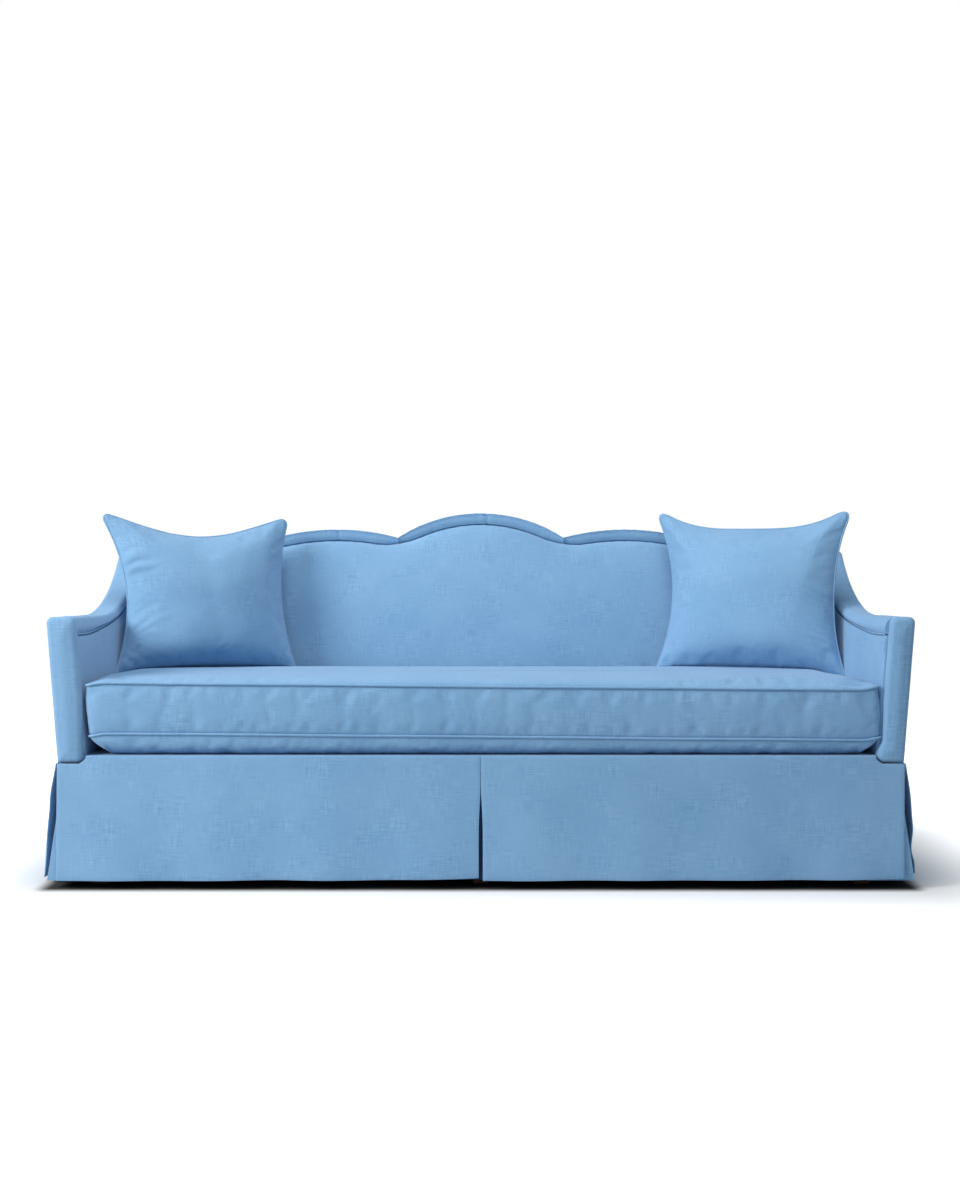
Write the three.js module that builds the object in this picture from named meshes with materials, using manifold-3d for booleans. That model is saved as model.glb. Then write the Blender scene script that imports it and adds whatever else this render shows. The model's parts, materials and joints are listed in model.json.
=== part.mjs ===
// Camelback sofa with sloping arms, one bench cushion, two throw pillows and a kick-pleat skirt.
// Millimetres, +Z up. +X is the right side seen from the front, and +Y runs from front to back.
// Depths are counted from the front of the arm facings; the whole sofa is centred at the end.
import * as THREE from "three";
import { mergeVertices } from "three/addons/utils/BufferGeometryUtils.js";
import Module from "manifold-3d";

const wasm = await Module();
wasm.setup();

// Gap kept between pieces that touch
const clearance = 0.3;

// Arms: upright slabs that lean outwards, with a top line that sweeps up to the back
const armBottom = 310;
const armHeight = 675;
const armInnerHalf = 990;
const armLean = THREE.MathUtils.degToRad(4.6);
const insideArmPad = 18;
const armTimber = 38;
const outsideArmPad = 11.4;
const shoulderRise = 187;
const shoulderHeight = armHeight + shoulderRise;
const sweepRun = 465;
const sweepPastBack = 39;
const backDepth = 716;
const sweepEnd = backDepth + sweepPastBack;
const sweepStart = sweepEnd - sweepRun;
const sweepPowerShare = 2.1;
const sweepSteps = 7;
const armTopPadDeep = 44;
const armInnerRound = 18;
const armOuterRound = 12;
const armInsideCrown = 5;
const facingThickness = 20;
const facingRound = 6;
const facingFootRound = 14;
const armRailDeep = 45;
const armPostDepth = 38;
const cornerSteps = 4;
const armPadRows = 4;
const facingRimShare = 0.25;

// Deck
const deckTop = 328.5;
const edgeRollDepth = 40;
const edgeRollRound = 14;
const deckTuck = 10;

// Back: a shaped timber frame, raked, with a padded front and a seamed top border
const backRake = THREE.MathUtils.degToRad(12);
const backTimber = 32;
const borderDepth = 86;
const backFaceDepth = backDepth - borderDepth;
const backCrown = 38;
const backSidePowerShare = 8;
const outsideBackThickness = 4;
const crestRise = 75;
const cuspRise = 35;
const cuspHeight = shoulderHeight + cuspRise;
const crestHeight = cuspHeight + crestRise;
const cuspHalf = 252;
const lobeRise = 30;
const lobeWidth = 374;
const lobeEndHalf = cuspHalf + lobeWidth;
const shoulderPowerShare = 2.2;
const bandHeight = 34;
const bandPinchWidth = 30;
const bandPinchShare = 0.5;
const borderRound = 10;
const borderPuff = 3;
const topRailDeep = 28;
const backRailBottom = shoulderHeight - bandHeight - topRailDeep;
const stileWidth = 50;
const tackRailGap = 6.5;
const tackRailBottom = deckTop + tackRailGap;
const tackRailHeight = 60;
const backPadRows = 7;
const crestStationShares = [0.34, 0.68, 1];
const lobeStationShares = [0.2, 0.5, 0.8, 1];
const shoulderStationShares = [0.3, 0.62, 1];

// Seat frame
const railBottom = 130;
const railTop = 290;
const frameFront = 3;
const frontRailThickness = 28;
const sideRailThickness = 40;
const sideRailReach = 50;
const sideRailOuterHalf = armInnerHalf + sideRailReach;
const stretcherWidth = 60;
const stretcherHeight = 60;
const blockSize = 74;
const blockHeight = 60;
const dustCoverThickness = 1.5;
const dustCoverMargin = 6;

// Seat springs: flat zigzag wires between the front and rear rails
const springCount = 8;
const springWire = 4;
const springWireSides = 4;
const springSpreadShare = 0.8344;
const springSwing = 26;
const springBends = 10;
const springStepsPerBend = 3;
const tieWireShares = [0.34, 0.68];
const springDrop = 10;

// Feet
const footTopSize = 56;
const footBottomSize = 38;
const footInset = 12;
const studRadius = 5;
const studHeight = 30;
const studSides = 12;

// Seat cushion
const cushionSideGap = 5;
const cushionHalf = armInnerHalf - cushionSideGap;
const cushionFront = 8;
const cushionBackGap = 15;
const cushionBack = backFaceDepth - cushionBackGap;
const cushionBelly = 47.2;
const cushionBoxing = 126;
const cushionBottomSeam = deckTop + clearance + cushionBelly;
const cushionTopSeam = cushionBottomSeam + cushionBoxing;
const cushionTopCrown = 29;
const cushionCorner = 34;
const cushionDrawIn = 7;
const cushionCrownPowerShare = 3;
const cushionBellyPowerShare = 10;
const cushionRestShare = 1.02;
const coverThickness = 4;
const coreGap = 1;
const cushionRingShares = [0.4, 0.75, 0.93, 1];
const cushionSidePoints = 9;
const cushionEndPoints = 5;
const zipLengthShare = 0.7614;
const zipLength = 2 * cushionHalf * zipLengthShare;
const zipWidth = 24;
const zipTape = 1.6;
const zipTeethWidth = 6;
const zipTeethProud = 1.6;
const sliderLength = 16;
const sliderWidth = 11;
const sliderThickness = 1.4;
const pullLength = 22;
const pullWidth = 7;

// Throw pillows
const pillowWidth = 524;
const pillowTall = 456;
const pillowThickness = 176;
const pillowWelt = 3;
const pillowSideDraw = 22;
const pillowDrawPowerShare = 0.8;
const pillowPuffPowerShare = 2.4;
const pillowEdgePowerShare = 0.75;
const pillowLean = THREE.MathUtils.degToRad(16.5);
const pillowRingShares = [0.25, 0.5, 0.72, 0.9, 1];
const pillowPointsPerSide = 8;
const pillowSlotShare = 0.6;
const pillowSlotDeep = 16;
const leftPillowYaw = THREE.MathUtils.degToRad(26);
const leftPillowFromArm = 198;
const leftPillowFromBack = 106;
const leftPillowFoot = 8.9;
const rightPillowYaw = THREE.MathUtils.degToRad(-24);
const rightPillowFromArm = 213;
const rightPillowFromBack = 106;
const rightPillowFoot = 10.7;

// Skirt
const skirtHem = 15;
const skirtThickness = 3;
const skirtLiningThickness = 2;
const skirtTopProud = 0.5;
const skirtFrontTop = deckTop + skirtTopProud;
const skirtFrontFlare = 14;
const skirtSideFlare = 46;
const skirtBackFlare = 14;
const skirtCornerSlip = 55;
const skirtFrontShort = 2;
const skirtFrontSpread = 10;
const skirtRows = 5;
const skirtFrontSteps = 12;
const skirtSideSteps = 9;
const skirtBackSteps = 16;
const liningSteps = 4;
const skirtWave = 2.2;
const skirtWavePitch = 260;
const pleatGap = 0.5;
const pleatOpen = 3.5;
const pleatLiningHalf = 100;
const cornerLiningLeg = 80;
const liningTopDrop = 1;
const liningTop = railTop - liningTopDrop;
const liningFlareShare = 0.8;

const armThickness = insideArmPad + armTimber + outsideArmPad + 2 * clearance;
const leanSlope = Math.tan(armLean);
const rakeSlope = Math.tan(backRake);
const armFront = facingThickness + clearance;
const skirtFrontHalf = armInnerHalf + armThickness - skirtFrontShort;
const skirtFrontHemHalf = skirtFrontHalf + skirtFrontSpread;
const frameBottom = railTop + clearance;

const finishes = {
  linen: new THREE.MeshStandardMaterial({ color: 0x6e9bc4, roughness: 0.9, metalness: 0 }),
  timber: new THREE.MeshStandardMaterial({ color: 0xc49a6c, roughness: 0.7, metalness: 0 }),
  foot: new THREE.MeshStandardMaterial({ color: 0x2a1d16, roughness: 0.45, metalness: 0 }),
  foam: new THREE.MeshStandardMaterial({ color: 0xe9e2cf, roughness: 0.95, metalness: 0 }),
  lining: new THREE.MeshStandardMaterial({ color: 0x1c1d20, roughness: 0.95, metalness: 0 }),
  steel: new THREE.MeshStandardMaterial({ color: 0x8f9296, roughness: 0.4, metalness: 0.9 }),
};

const sofa = new THREE.Group();

// Adds one named piece to the sofa, or to another group
function add(name, geometry, finish, group = sofa) {
  const mesh = new THREE.Mesh(geometry, finish);
  mesh.name = name;
  group.add(mesh);
  return mesh;
}

const mix = THREE.MathUtils.lerp;

// A closed surface from points and triangles, turned so that its faces point out
function closedSurface(points, faces) {
  const normal = new THREE.Vector3();
  let volume = 0;
  for (const [a, b, c] of faces) {
    volume += points[a].dot(normal.crossVectors(points[b], points[c]));
  }
  const turned = volume < 0 ? faces.map(([a, b, c]) => [a, c, b]) : faces;
  const geometry = new THREE.BufferGeometry();
  geometry.setFromPoints(points);
  geometry.setIndex(turned.flat());
  geometry.computeVertexNormals();
  return geometry;
}

// Rings of equal point count joined side to side, each end closed round a middle point
function ringed(rings, firstMiddle, lastMiddle) {
  const count = rings[0].length;
  const points = rings.flat();
  const faces = [];
  for (let ring = 0; ring + 1 < rings.length; ring += 1) {
    for (let i = 0; i < count; i += 1) {
      const next = (i + 1) % count;
      const low = ring * count;
      const high = low + count;
      faces.push([low + i, low + next, high + next]);
      faces.push([low + i, high + next, high + i]);
    }
  }
  const ends = [[0, firstMiddle], [rings.length - 1, lastMiddle]];
  for (const [ring, given] of ends) {
    const middle = given ?? middleOf(rings[ring]);
    const start = ring * count;
    const at = points.push(middle) - 1;
    for (let i = 0; i < count; i += 1) {
      const next = (i + 1) % count;
      faces.push(ring === 0 ? [at, start + next, start + i] : [at, start + i, start + next]);
    }
  }
  return closedSurface(points, faces);
}

function middleOf(ring) {
  const middle = new THREE.Vector3();
  ring.forEach((point) => middle.add(point));
  return middle.divideScalar(ring.length);
}

// Two grids of points, near and far, joined round their edges
function slab(columns, rows, place) {
  const points = [];
  const faces = [];
  const wide = columns + 1;
  const layerSize = wide * (rows + 1);
  for (const layer of [0, 1]) {
    for (let row = 0; row <= rows; row += 1) {
      for (let column = 0; column <= columns; column += 1) {
        points.push(place(column, row, layer));
      }
    }
  }
  for (let row = 0; row < rows; row += 1) {
    for (let column = 0; column < columns; column += 1) {
      const a = row * wide + column;
      const b = a + 1;
      const c = b + wide;
      const d = a + wide;
      faces.push([a, b, c], [a, c, d]);
      faces.push([b + layerSize, a + layerSize, c + layerSize]);
      faces.push([a + layerSize, d + layerSize, c + layerSize]);
    }
  }
  const rim = [];
  for (let column = 0; column < columns; column += 1) rim.push(column);
  for (let row = 0; row < rows; row += 1) rim.push(row * wide + columns);
  for (let column = columns; column > 0; column -= 1) rim.push(rows * wide + column);
  for (let row = rows; row > 0; row -= 1) rim.push(row * wide);
  rim.forEach((a, i) => {
    const b = rim[(i + 1) % rim.length];
    faces.push([b, a, a + layerSize], [b, a + layerSize, b + layerSize]);
  });
  return closedSurface(points, faces);
}

// A box between two corners
function block(low, high) {
  const size = high.map((value, axis) => value - low[axis]);
  const geometry = new THREE.BoxGeometry(...size);
  const middle = high.map((value, axis) => (value + low[axis]) / 2);
  return geometry.translate(...middle);
}

// A closed geometry as a solid that can be joined and cut
function solidOf(geometry) {
  const bare = geometry.clone();
  bare.deleteAttribute("normal");
  bare.deleteAttribute("uv");
  const merged = mergeVertices(bare);
  return new wasm.Manifold(
    new wasm.Mesh({
      numProp: 3,
      vertProperties: merged.attributes.position.array,
      triVerts: new Uint32Array(merged.index.array),
    }),
  );
}

function geometryOf(solid) {
  const mesh = solid.getMesh();
  const geometry = new THREE.BufferGeometry();
  geometry.setAttribute("position", new THREE.BufferAttribute(mesh.vertProperties, mesh.numProp));
  geometry.setIndex(new THREE.BufferAttribute(mesh.triVerts, 1));
  geometry.computeVertexNormals();
  return geometry;
}

// What is left of a geometry when the cutters are taken away
function cut(geometry, cutters) {
  const left = cutters.reduce((solid, cutter) => solid.subtract(solidOf(cutter)), solidOf(geometry));
  return geometryOf(left);
}

function joined(...geometries) {
  const solids = geometries.map(solidOf);
  return geometryOf(solids.reduce((all, solid) => all.add(solid)));
}

// Sides of the sofa, as a name and a sign
const sides = [["left", -1], ["right", 1]];

// Inner face of an arm at a height, measured from the middle of the sofa
function armInnerAt(z) {
  return armInnerHalf + leanSlope * (z - armBottom);
}

// Depth of the rear plane, which the arms and the back share, at a height
function rearAt(z) {
  return backDepth + rakeSlope * (z - armBottom);
}

// Height of the arm's top line at a depth
function armTopAt(depth) {
  const share = THREE.MathUtils.clamp((depth - sweepStart) / (sweepEnd - sweepStart), 0, 1);
  return mix(armHeight, shoulderHeight, share ** sweepPowerShare);
}

// Stations along the arm, each with its place on the top line, its tilt and its stretch
function armStations() {
  const depths = [armFront];
  for (let step = 0; step <= sweepSteps; step += 1) {
    depths.push(mix(sweepStart, sweepEnd, step / sweepSteps));
  }
  depths.push(rearAt(shoulderHeight));
  const last = depths.length - 1;
  return depths.map((depth, i) => {
    const before = depths[Math.max(i - 1, 0)];
    const after = depths[Math.min(i + 1, last)];
    const slope = (armTopAt(after) - armTopAt(before)) / (after - before);
    const share = (depth - armFront) / (depths[last] - armFront);
    return { depth, share, z: armTopAt(depth), tilt: share * rakeSlope, stretch: Math.hypot(1, slope) };
  });
}

const stations = armStations();

// A point of the arm: across from its inner face, and down from its top line
function armPoint(side, across, station, drop) {
  const z = station.z - drop * station.stretch;
  const depth = station.depth + (z - station.z) * station.tilt;
  return new THREE.Vector3(side * (armInnerAt(z) + across), depth, z);
}

// An upright layer of the arm from a bottom height up to a drop below the top line
function armLayer(side, from, to, bottom, drop, rows, crown) {
  const rear = rearAt(bottom);
  return slab(stations.length - 1, rows, (column, row, layer) => {
    const station = stations[column];
    const top = armPoint(side, 0, station, drop);
    const share = row / rows;
    const z = mix(bottom, top.z, share);
    const depth = mix(mix(armFront, rear, station.share), top.y, share);
    const along = Math.min((station.depth - armFront) / (backFaceDepth - armFront), 1);
    const inside = from - crown * Math.sin(Math.PI * share) * Math.sin(Math.PI * along);
    return new THREE.Vector3(side * (armInnerAt(z) + (layer ? to : inside)), depth, z);
  });
}

// Points of a quarter circle in a section, from one angle to the next quarter
function quarter(middleX, middleY, radius, start) {
  const points = [];
  for (let step = 0; step <= cornerSteps; step += 1) {
    const angle = start + (Math.PI / 2) * (step / cornerSteps);
    points.push([middleX + radius * Math.cos(angle), middleY + radius * Math.sin(angle)]);
  }
  return points;
}

// Section of the arm's top pad: across, and down from the top line
function topPadSection() {
  const inner = quarter(armInnerRound, armInnerRound, armInnerRound, Math.PI);
  const outer = quarter(armThickness - armOuterRound, armOuterRound, armOuterRound, -Math.PI / 2);
  return [[0, armTopPadDeep], ...inner, ...outer, [armThickness, armTopPadDeep]];
}

// Outline of the arm facing: across, and up from its foot
function facingOutline() {
  const tall = armHeight - armBottom;
  const top = tall - armInnerRound;
  const inner = quarter(armInnerRound, top, armInnerRound, Math.PI / 2);
  const outer = quarter(armThickness - armOuterRound, tall - armOuterRound, armOuterRound, 0);
  const foot = quarter(facingFootRound, facingFootRound, facingFootRound, Math.PI);
  return [[armThickness, 0], ...outer, ...inner, ...foot];
}

function armFacing(side) {
  const tall = armHeight - armBottom;
  const outline = facingOutline();
  const rim = facingRound * facingRimShare;
  const depths = [0, rim, facingRound, facingThickness];
  const insets = [facingRound, rim, 0, 0];
  const rings = depths.map((depth, i) => {
    const narrow = 1 - (2 * insets[i]) / armThickness;
    const short = 1 - (2 * insets[i]) / tall;
    return outline.map(([across, up]) => {
      const z = armBottom + tall / 2 + (up - tall / 2) * short;
      const reach = armThickness / 2 + (across - armThickness / 2) * narrow;
      return new THREE.Vector3(side * (armInnerAt(z) + reach), depth, z);
    });
  });
  return ringed(rings);
}

function buildArms() {
  const timberFrom = insideArmPad + clearance;
  const timberTo = timberFrom + armTimber;
  const outsideFrom = timberTo + clearance;
  const underPad = armTopPadDeep + clearance;
  const underRail = underPad + armRailDeep + clearance;
  for (const [name, side] of sides) {
    const section = topPadSection();
    const rings = stations.map((station) => section.map(([s, drop]) => armPoint(side, s, station, drop)));
    add(`${name}_arm_top_pad`, ringed(rings), finishes.linen);
    add(`${name}_arm_facing`, armFacing(side), finishes.linen);
    const inside = armLayer(side, 0, insideArmPad, frameBottom, underPad, armPadRows, armInsideCrown);
    add(`${name}_inside_arm_pad`, inside, finishes.linen);
    const outside = armLayer(side, outsideFrom, armThickness, frameBottom, underPad, 1, 0);
    add(`${name}_outside_arm_panel`, outside, finishes.linen);
    const railRings = stations.map((station) => [
      armPoint(side, timberFrom, station, underPad),
      armPoint(side, timberTo, station, underPad),
      armPoint(side, timberTo, station, underPad + armRailDeep),
      armPoint(side, timberFrom, station, underPad + armRailDeep),
    ]);
    add(`${name}_arm_rail`, ringed(railRings), finishes.timber);
    const post = slab(1, 1, (column, row, layer) => {
      const z = row ? armHeight - underRail : frameBottom;
      const depth = armFront + (column ? armPostDepth : 0);
      return new THREE.Vector3(side * (armInnerAt(z) + (layer ? timberTo : timberFrom)), depth, z);
    });
    add(`${name}_arm_post`, post, finishes.timber);
    const [before, end] = stations.slice(-2).map((station) => armPoint(side, 0, station, underRail));
    const postFrontTop = end.clone().lerp(before, backTimber / (end.y - before.y));
    const backPost = slab(1, 1, (column, row, layer) => {
      const top = column ? end : postFrontTop;
      const z = row ? top.z : frameBottom;
      const depth = row ? top.y : rearAt(z) - (column ? 0 : backTimber);
      return new THREE.Vector3(side * (armInnerAt(z) + (layer ? timberTo : timberFrom)), depth, z);
    });
    add(`${name}_back_post`, backPost, finishes.timber);
  }
}

// Height of a circular arc over its chord, for a half chord and a rise
function arcRise(offset, half, rise) {
  const radius = (half * half + rise * rise) / (2 * rise);
  return rise - radius + Math.sqrt(Math.max(radius * radius - offset * offset, 0));
}

// The camelback outline: a middle hump, a lobe each side, and a slope to the shoulder
function crestAt(x) {
  const reach = Math.abs(x);
  if (reach <= cuspHalf) return cuspHeight + arcRise(reach, cuspHalf, crestHeight - cuspHeight);
  const lobeHalf = (lobeEndHalf - cuspHalf) / 2;
  if (reach <= lobeEndHalf) return cuspHeight + arcRise(reach - cuspHalf - lobeHalf, lobeHalf, lobeRise);
  const share = Math.min((reach - lobeEndHalf) / (armInnerAt(shoulderHeight) - lobeEndHalf), 1);
  return shoulderHeight + (cuspHeight - shoulderHeight) * (1 - share) ** shoulderPowerShare;
}

// The seam under the top border, which the hump's cusps pinch
function seamAt(x) {
  const away = (Math.abs(x) - cuspHalf) / bandPinchWidth;
  return crestAt(x) - bandHeight * (1 - bandPinchShare * Math.exp(-away * away));
}

// Half width between the arms at a height
function backHalfAt(z) {
  return armInnerAt(z) - clearance;
}

// Places across the back's top, from the middle to the arm
function halfCrestPlaces() {
  const end = backHalfAt(shoulderHeight);
  return [
    0,
    ...crestStationShares.map((share) => share * cuspHalf),
    ...lobeStationShares.map((share) => mix(cuspHalf, lobeEndHalf, share)),
    ...shoulderStationShares.map((share) => mix(lobeEndHalf, end, share)),
  ];
}

const halfPlaces = halfCrestPlaces();
const crestPlaces = [...halfPlaces.slice(1).reverse().map((x) => -x), ...halfPlaces];

// A point of the back: its place across the top, its height, and its depth before the rake
function backPoint(place, z, depth) {
  const x = (place * backHalfAt(z)) / backHalfAt(crestAt(place));
  return new THREE.Vector3(x, depth + rakeSlope * (z - armBottom), z);
}

// A flat timber of the back between two places across and two heights
function backTimberPiece(places, bottom, topOf) {
  const front = backDepth - backTimber;
  return slab(places.length - 1, 1, (column, row, layer) => {
    const z = row ? topOf(places[column]) : bottom;
    return backPoint(places[column], z, layer ? backDepth : front);
  });
}

function insideBackPad() {
  const bottom = deckTop + 2 * clearance;
  const rear = backDepth - backTimber - clearance;
  const widest = halfPlaces[halfPlaces.length - 1];
  return slab(crestPlaces.length - 1, backPadRows, (column, row, layer) => {
    const place = crestPlaces[column];
    const share = row / backPadRows;
    const z = mix(bottom, seamAt(place) - clearance, share);
    const across = 1 - (place / widest) ** backSidePowerShare;
    const swell = backCrown * across * Math.sqrt(Math.sin(Math.PI * share));
    return backPoint(place, z, layer ? rear : backFaceDepth - swell);
  });
}

function border(places) {
  const rings = places.map((place) => {
    const seam = seamAt(place);
    const crest = crestAt(place);
    return [
      backPoint(place, seam, backFaceDepth),
      backPoint(place, (seam + crest) / 2, backFaceDepth - borderPuff),
      backPoint(place, crest - borderRound / 2, backFaceDepth),
      backPoint(place, crest, backFaceDepth + borderRound),
      backPoint(place, crest, backDepth),
      backPoint(place, seam, backDepth),
    ];
  });
  return ringed(rings);
}

function outsideBack() {
  const outerAt = (z) => armInnerAt(z) + armThickness;
  const corner = outerAt(shoulderHeight);
  const places = [-corner, ...crestPlaces, corner];
  return slab(places.length - 1, 1, (column, row, layer) => {
    const place = places[column];
    const top = crestAt(place);
    const z = row ? top : frameBottom;
    const depth = rearAt(z) + clearance + (layer ? outsideBackThickness : 0);
    return new THREE.Vector3((place * outerAt(z)) / outerAt(top), depth, z);
  });
}

function buildBack() {
  add("inside_back_pad", insideBackPad(), finishes.linen);
  const seamGap = clearance / 2;
  const cuspIndex = crestStationShares.length;
  const middle = crestPlaces.filter((place) => Math.abs(place) < cuspHalf);
  const outer = halfPlaces.slice(cuspIndex + 1);
  const middleEnd = cuspHalf - seamGap;
  const outerStart = cuspHalf + seamGap;
  add("back_border_centre", border([-middleEnd, ...middle, middleEnd]), finishes.linen);
  for (const [name, side] of sides) {
    const places = [outerStart, ...outer].map((place) => side * place);
    add(`back_border_${name}`, border(places), finishes.linen);
  }
  add("outside_back_panel", outsideBack(), finishes.linen);
  const topRail = backTimberPiece(crestPlaces, backRailBottom, (place) => seamAt(place) - clearance);
  add("back_top_rail", topRail, finishes.timber);
  const end = halfPlaces[halfPlaces.length - 1];
  const stileTop = () => backRailBottom - clearance;
  const centreStile = backTimberPiece([-stileWidth / 2, stileWidth / 2], frameBottom, stileTop);
  add("centre_back_stile", centreStile, finishes.timber);
  for (const [name, side] of sides) {
    const stile = backTimberPiece([side * (end - stileWidth), side * end], frameBottom, stileTop);
    add(`${name}_back_stile`, stile, finishes.timber);
    const tackFrom = stileWidth / 2 + 2 * clearance;
    const tackTo = end - stileWidth - 2 * clearance;
    const tackTop = () => tackRailBottom + tackRailHeight;
    const tack = backTimberPiece([side * tackFrom, side * tackTo], tackRailBottom, tackTop);
    add(`${name}_back_tack_rail`, tack, finishes.timber);
  }
}

// A foot with a stud on top, standing on the floor
function foot(x, y) {
  const corners = [[-1, -1], [1, -1], [1, 1], [-1, 1]];
  const levels = [[0, footBottomSize], [railBottom - clearance, footTopSize]];
  const rings = levels.map(([z, size]) =>
    corners.map(([across, along]) => {
      return new THREE.Vector3(x + (across * size) / 2, y + (along * size) / 2, z);
    }),
  );
  const stud = studAt(x, y, studRadius, railBottom - footInset, railBottom + studHeight);
  return joined(ringed(rings), stud);
}

function studAt(x, y, radius, bottom, top) {
  const geometry = new THREE.CylinderGeometry(radius, radius, top - bottom, studSides);
  geometry.rotateX(Math.PI / 2);
  return geometry.translate(x, y, (bottom + top) / 2);
}

// The hole that a foot's stud stands in
function studHole(x, y) {
  const top = railBottom + studHeight + footInset;
  return studAt(x, y, studRadius + 2 * clearance, railBottom - footInset, top);
}

function buildSeatFrame() {
  const railBack = rearAt(frameBottom);
  const rearRailFront = railBack - backTimber;
  const sideInner = sideRailOuterHalf - sideRailThickness;
  const rowHalf = sideInner - clearance;
  const insideFront = frameFront + frontRailThickness + clearance;
  const insideBack = rearRailFront - clearance;
  add(
    "front_rail",
    block([-rowHalf, frameFront, railBottom], [rowHalf, frameFront + frontRailThickness, railTop]),
    finishes.timber,
  );
  const rearRail = block([-rowHalf, rearRailFront, railBottom], [rowHalf, railBack, railTop]);
  add("rear_rail", rearRail, finishes.timber);
  const footPlaces = [];
  for (const [name, side] of sides) {
    const low = [Math.min(side * sideInner, side * sideRailOuterHalf), frameFront, railBottom];
    const high = [Math.max(side * sideInner, side * sideRailOuterHalf), railBack, railTop];
    add(`${name}_side_rail`, block(low, high), finishes.timber);
    const blockEnds = [
      ["front", insideFront, insideFront + blockSize],
      ["rear", insideBack - blockSize, insideBack],
    ];
    for (const [end, from, to] of blockEnds) {
      const x = side * (rowHalf - blockSize / 2);
      const y = (from + to) / 2;
      const low = [x - blockSize / 2, from, railBottom];
      const high = [x + blockSize / 2, to, railBottom + blockHeight];
      const corner = cut(block(low, high), [studHole(x, y)]);
      add(`${end}_${name}_corner_block`, corner, finishes.timber);
      footPlaces.push([`${end}_${name}_foot`, x, y]);
    }
  }
  const centreFeet = [
    ["front_centre_foot", 0, insideFront + blockSize / 2],
    ["rear_centre_foot", 0, insideBack - blockSize / 2],
  ];
  const halfStretcher = stretcherWidth / 2;
  const stretcher = block(
    [-halfStretcher, insideFront, railBottom],
    [halfStretcher, insideBack, railBottom + stretcherHeight],
  );
  const centreHoles = centreFeet.map(([, x, y]) => studHole(x, y));
  add("centre_stretcher", cut(stretcher, centreHoles), finishes.timber);
  footPlaces.push(...centreFeet);
  footPlaces.forEach(([name, x, y]) => add(name, foot(x, y), finishes.foot));
  const coverTop = railBottom - clearance;
  const dustCover = block(
    [-sideRailOuterHalf + dustCoverMargin, frameFront + dustCoverMargin, coverTop - dustCoverThickness],
    [sideRailOuterHalf - dustCoverMargin, railBack - dustCoverMargin, coverTop],
  );
  const footReach = footTopSize / 2 + clearance;
  const holes = footPlaces.map(([, x, y]) =>
    block([x - footReach, y - footReach, coverTop - footInset], [x + footReach, y + footReach, railTop]),
  );
  add("dust_cover", cut(dustCover, holes), finishes.lining);
  buildSprings(insideFront, insideBack);
}

// One zigzag spring wire between two depths, as rings round its line
function springWireAt(x, front, back, z) {
  const radius = springWire / 2;
  const steps = springBends * springStepsPerBend;
  const rings = [];
  for (let step = 0; step <= steps; step += 1) {
    const share = step / steps;
    const turn = springBends * Math.PI * share;
    const slope = (springSwing * springBends * Math.PI * Math.cos(turn)) / (back - front);
    const middle = new THREE.Vector3(x + springSwing * Math.sin(turn), mix(front, back, share), z);
    const atEnd = step === 0 || step === steps;
    const across = new THREE.Vector3(1, atEnd ? 0 : -slope, 0).normalize();
    rings.push(wireRing(middle, across, radius));
  }
  return ringed(rings);
}

function wireRing(middle, across, radius) {
  const ring = [];
  for (let point = 0; point < springWireSides; point += 1) {
    const angle = (2 * Math.PI * point) / springWireSides;
    const place = middle.clone().addScaledVector(across, radius * Math.cos(angle));
    place.z += radius * Math.sin(angle);
    ring.push(place);
  }
  return ring;
}

// Zigzag springs that end against the front and rear rails, held in step by two tie wires
function buildSprings(front, back) {
  const z = railTop - springDrop;
  const wires = [];
  const outermost = armInnerHalf * springSpreadShare;
  for (let spring = 0; spring < springCount; spring += 1) {
    const x = mix(-outermost, outermost, spring / (springCount - 1));
    wires.push(springWireAt(x, front, back, z));
  }
  const reach = outermost + springSwing;
  const along = new THREE.Vector3(0, 1, 0);
  for (const share of tieWireShares) {
    const depth = mix(front, back, share);
    const ends = [-reach, reach].map((x) => {
      return wireRing(new THREE.Vector3(x, depth, z), along, springWire / 2);
    });
    wires.push(ringed(ends));
  }
  add("seat_spring_unit", joined(...wires), finishes.steel);
}

// A bar across the seat between the arms, from its section of depths and heights
function acrossSeat(section) {
  const halfAt = (z) => armInnerAt(z) - clearance - armInsideCrown;
  const rings = [-1, 1].map((side) =>
    section.map(([depth, z]) => new THREE.Vector3(side * halfAt(z), depth, z)),
  );
  return ringed(rings);
}

function buildDeck() {
  const roll = quarter(edgeRollRound, deckTop - edgeRollRound, edgeRollRound, Math.PI / 2);
  const rollBack = [[edgeRollDepth, frameBottom], [edgeRollDepth, deckTop]];
  const rollSection = [[0, frameBottom], ...rollBack, ...roll];
  add("front_edge_roll", acrossSeat(rollSection), finishes.linen);
  const deckFront = edgeRollDepth + clearance;
  const deckBack = backFaceDepth + deckTuck;
  const deckSection = [
    [deckFront, frameBottom],
    [deckBack, frameBottom],
    [deckBack, deckTop],
    [deckFront, deckTop],
  ];
  add("deck_pad", acrossSeat(deckSection), finishes.foam);
}

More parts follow.
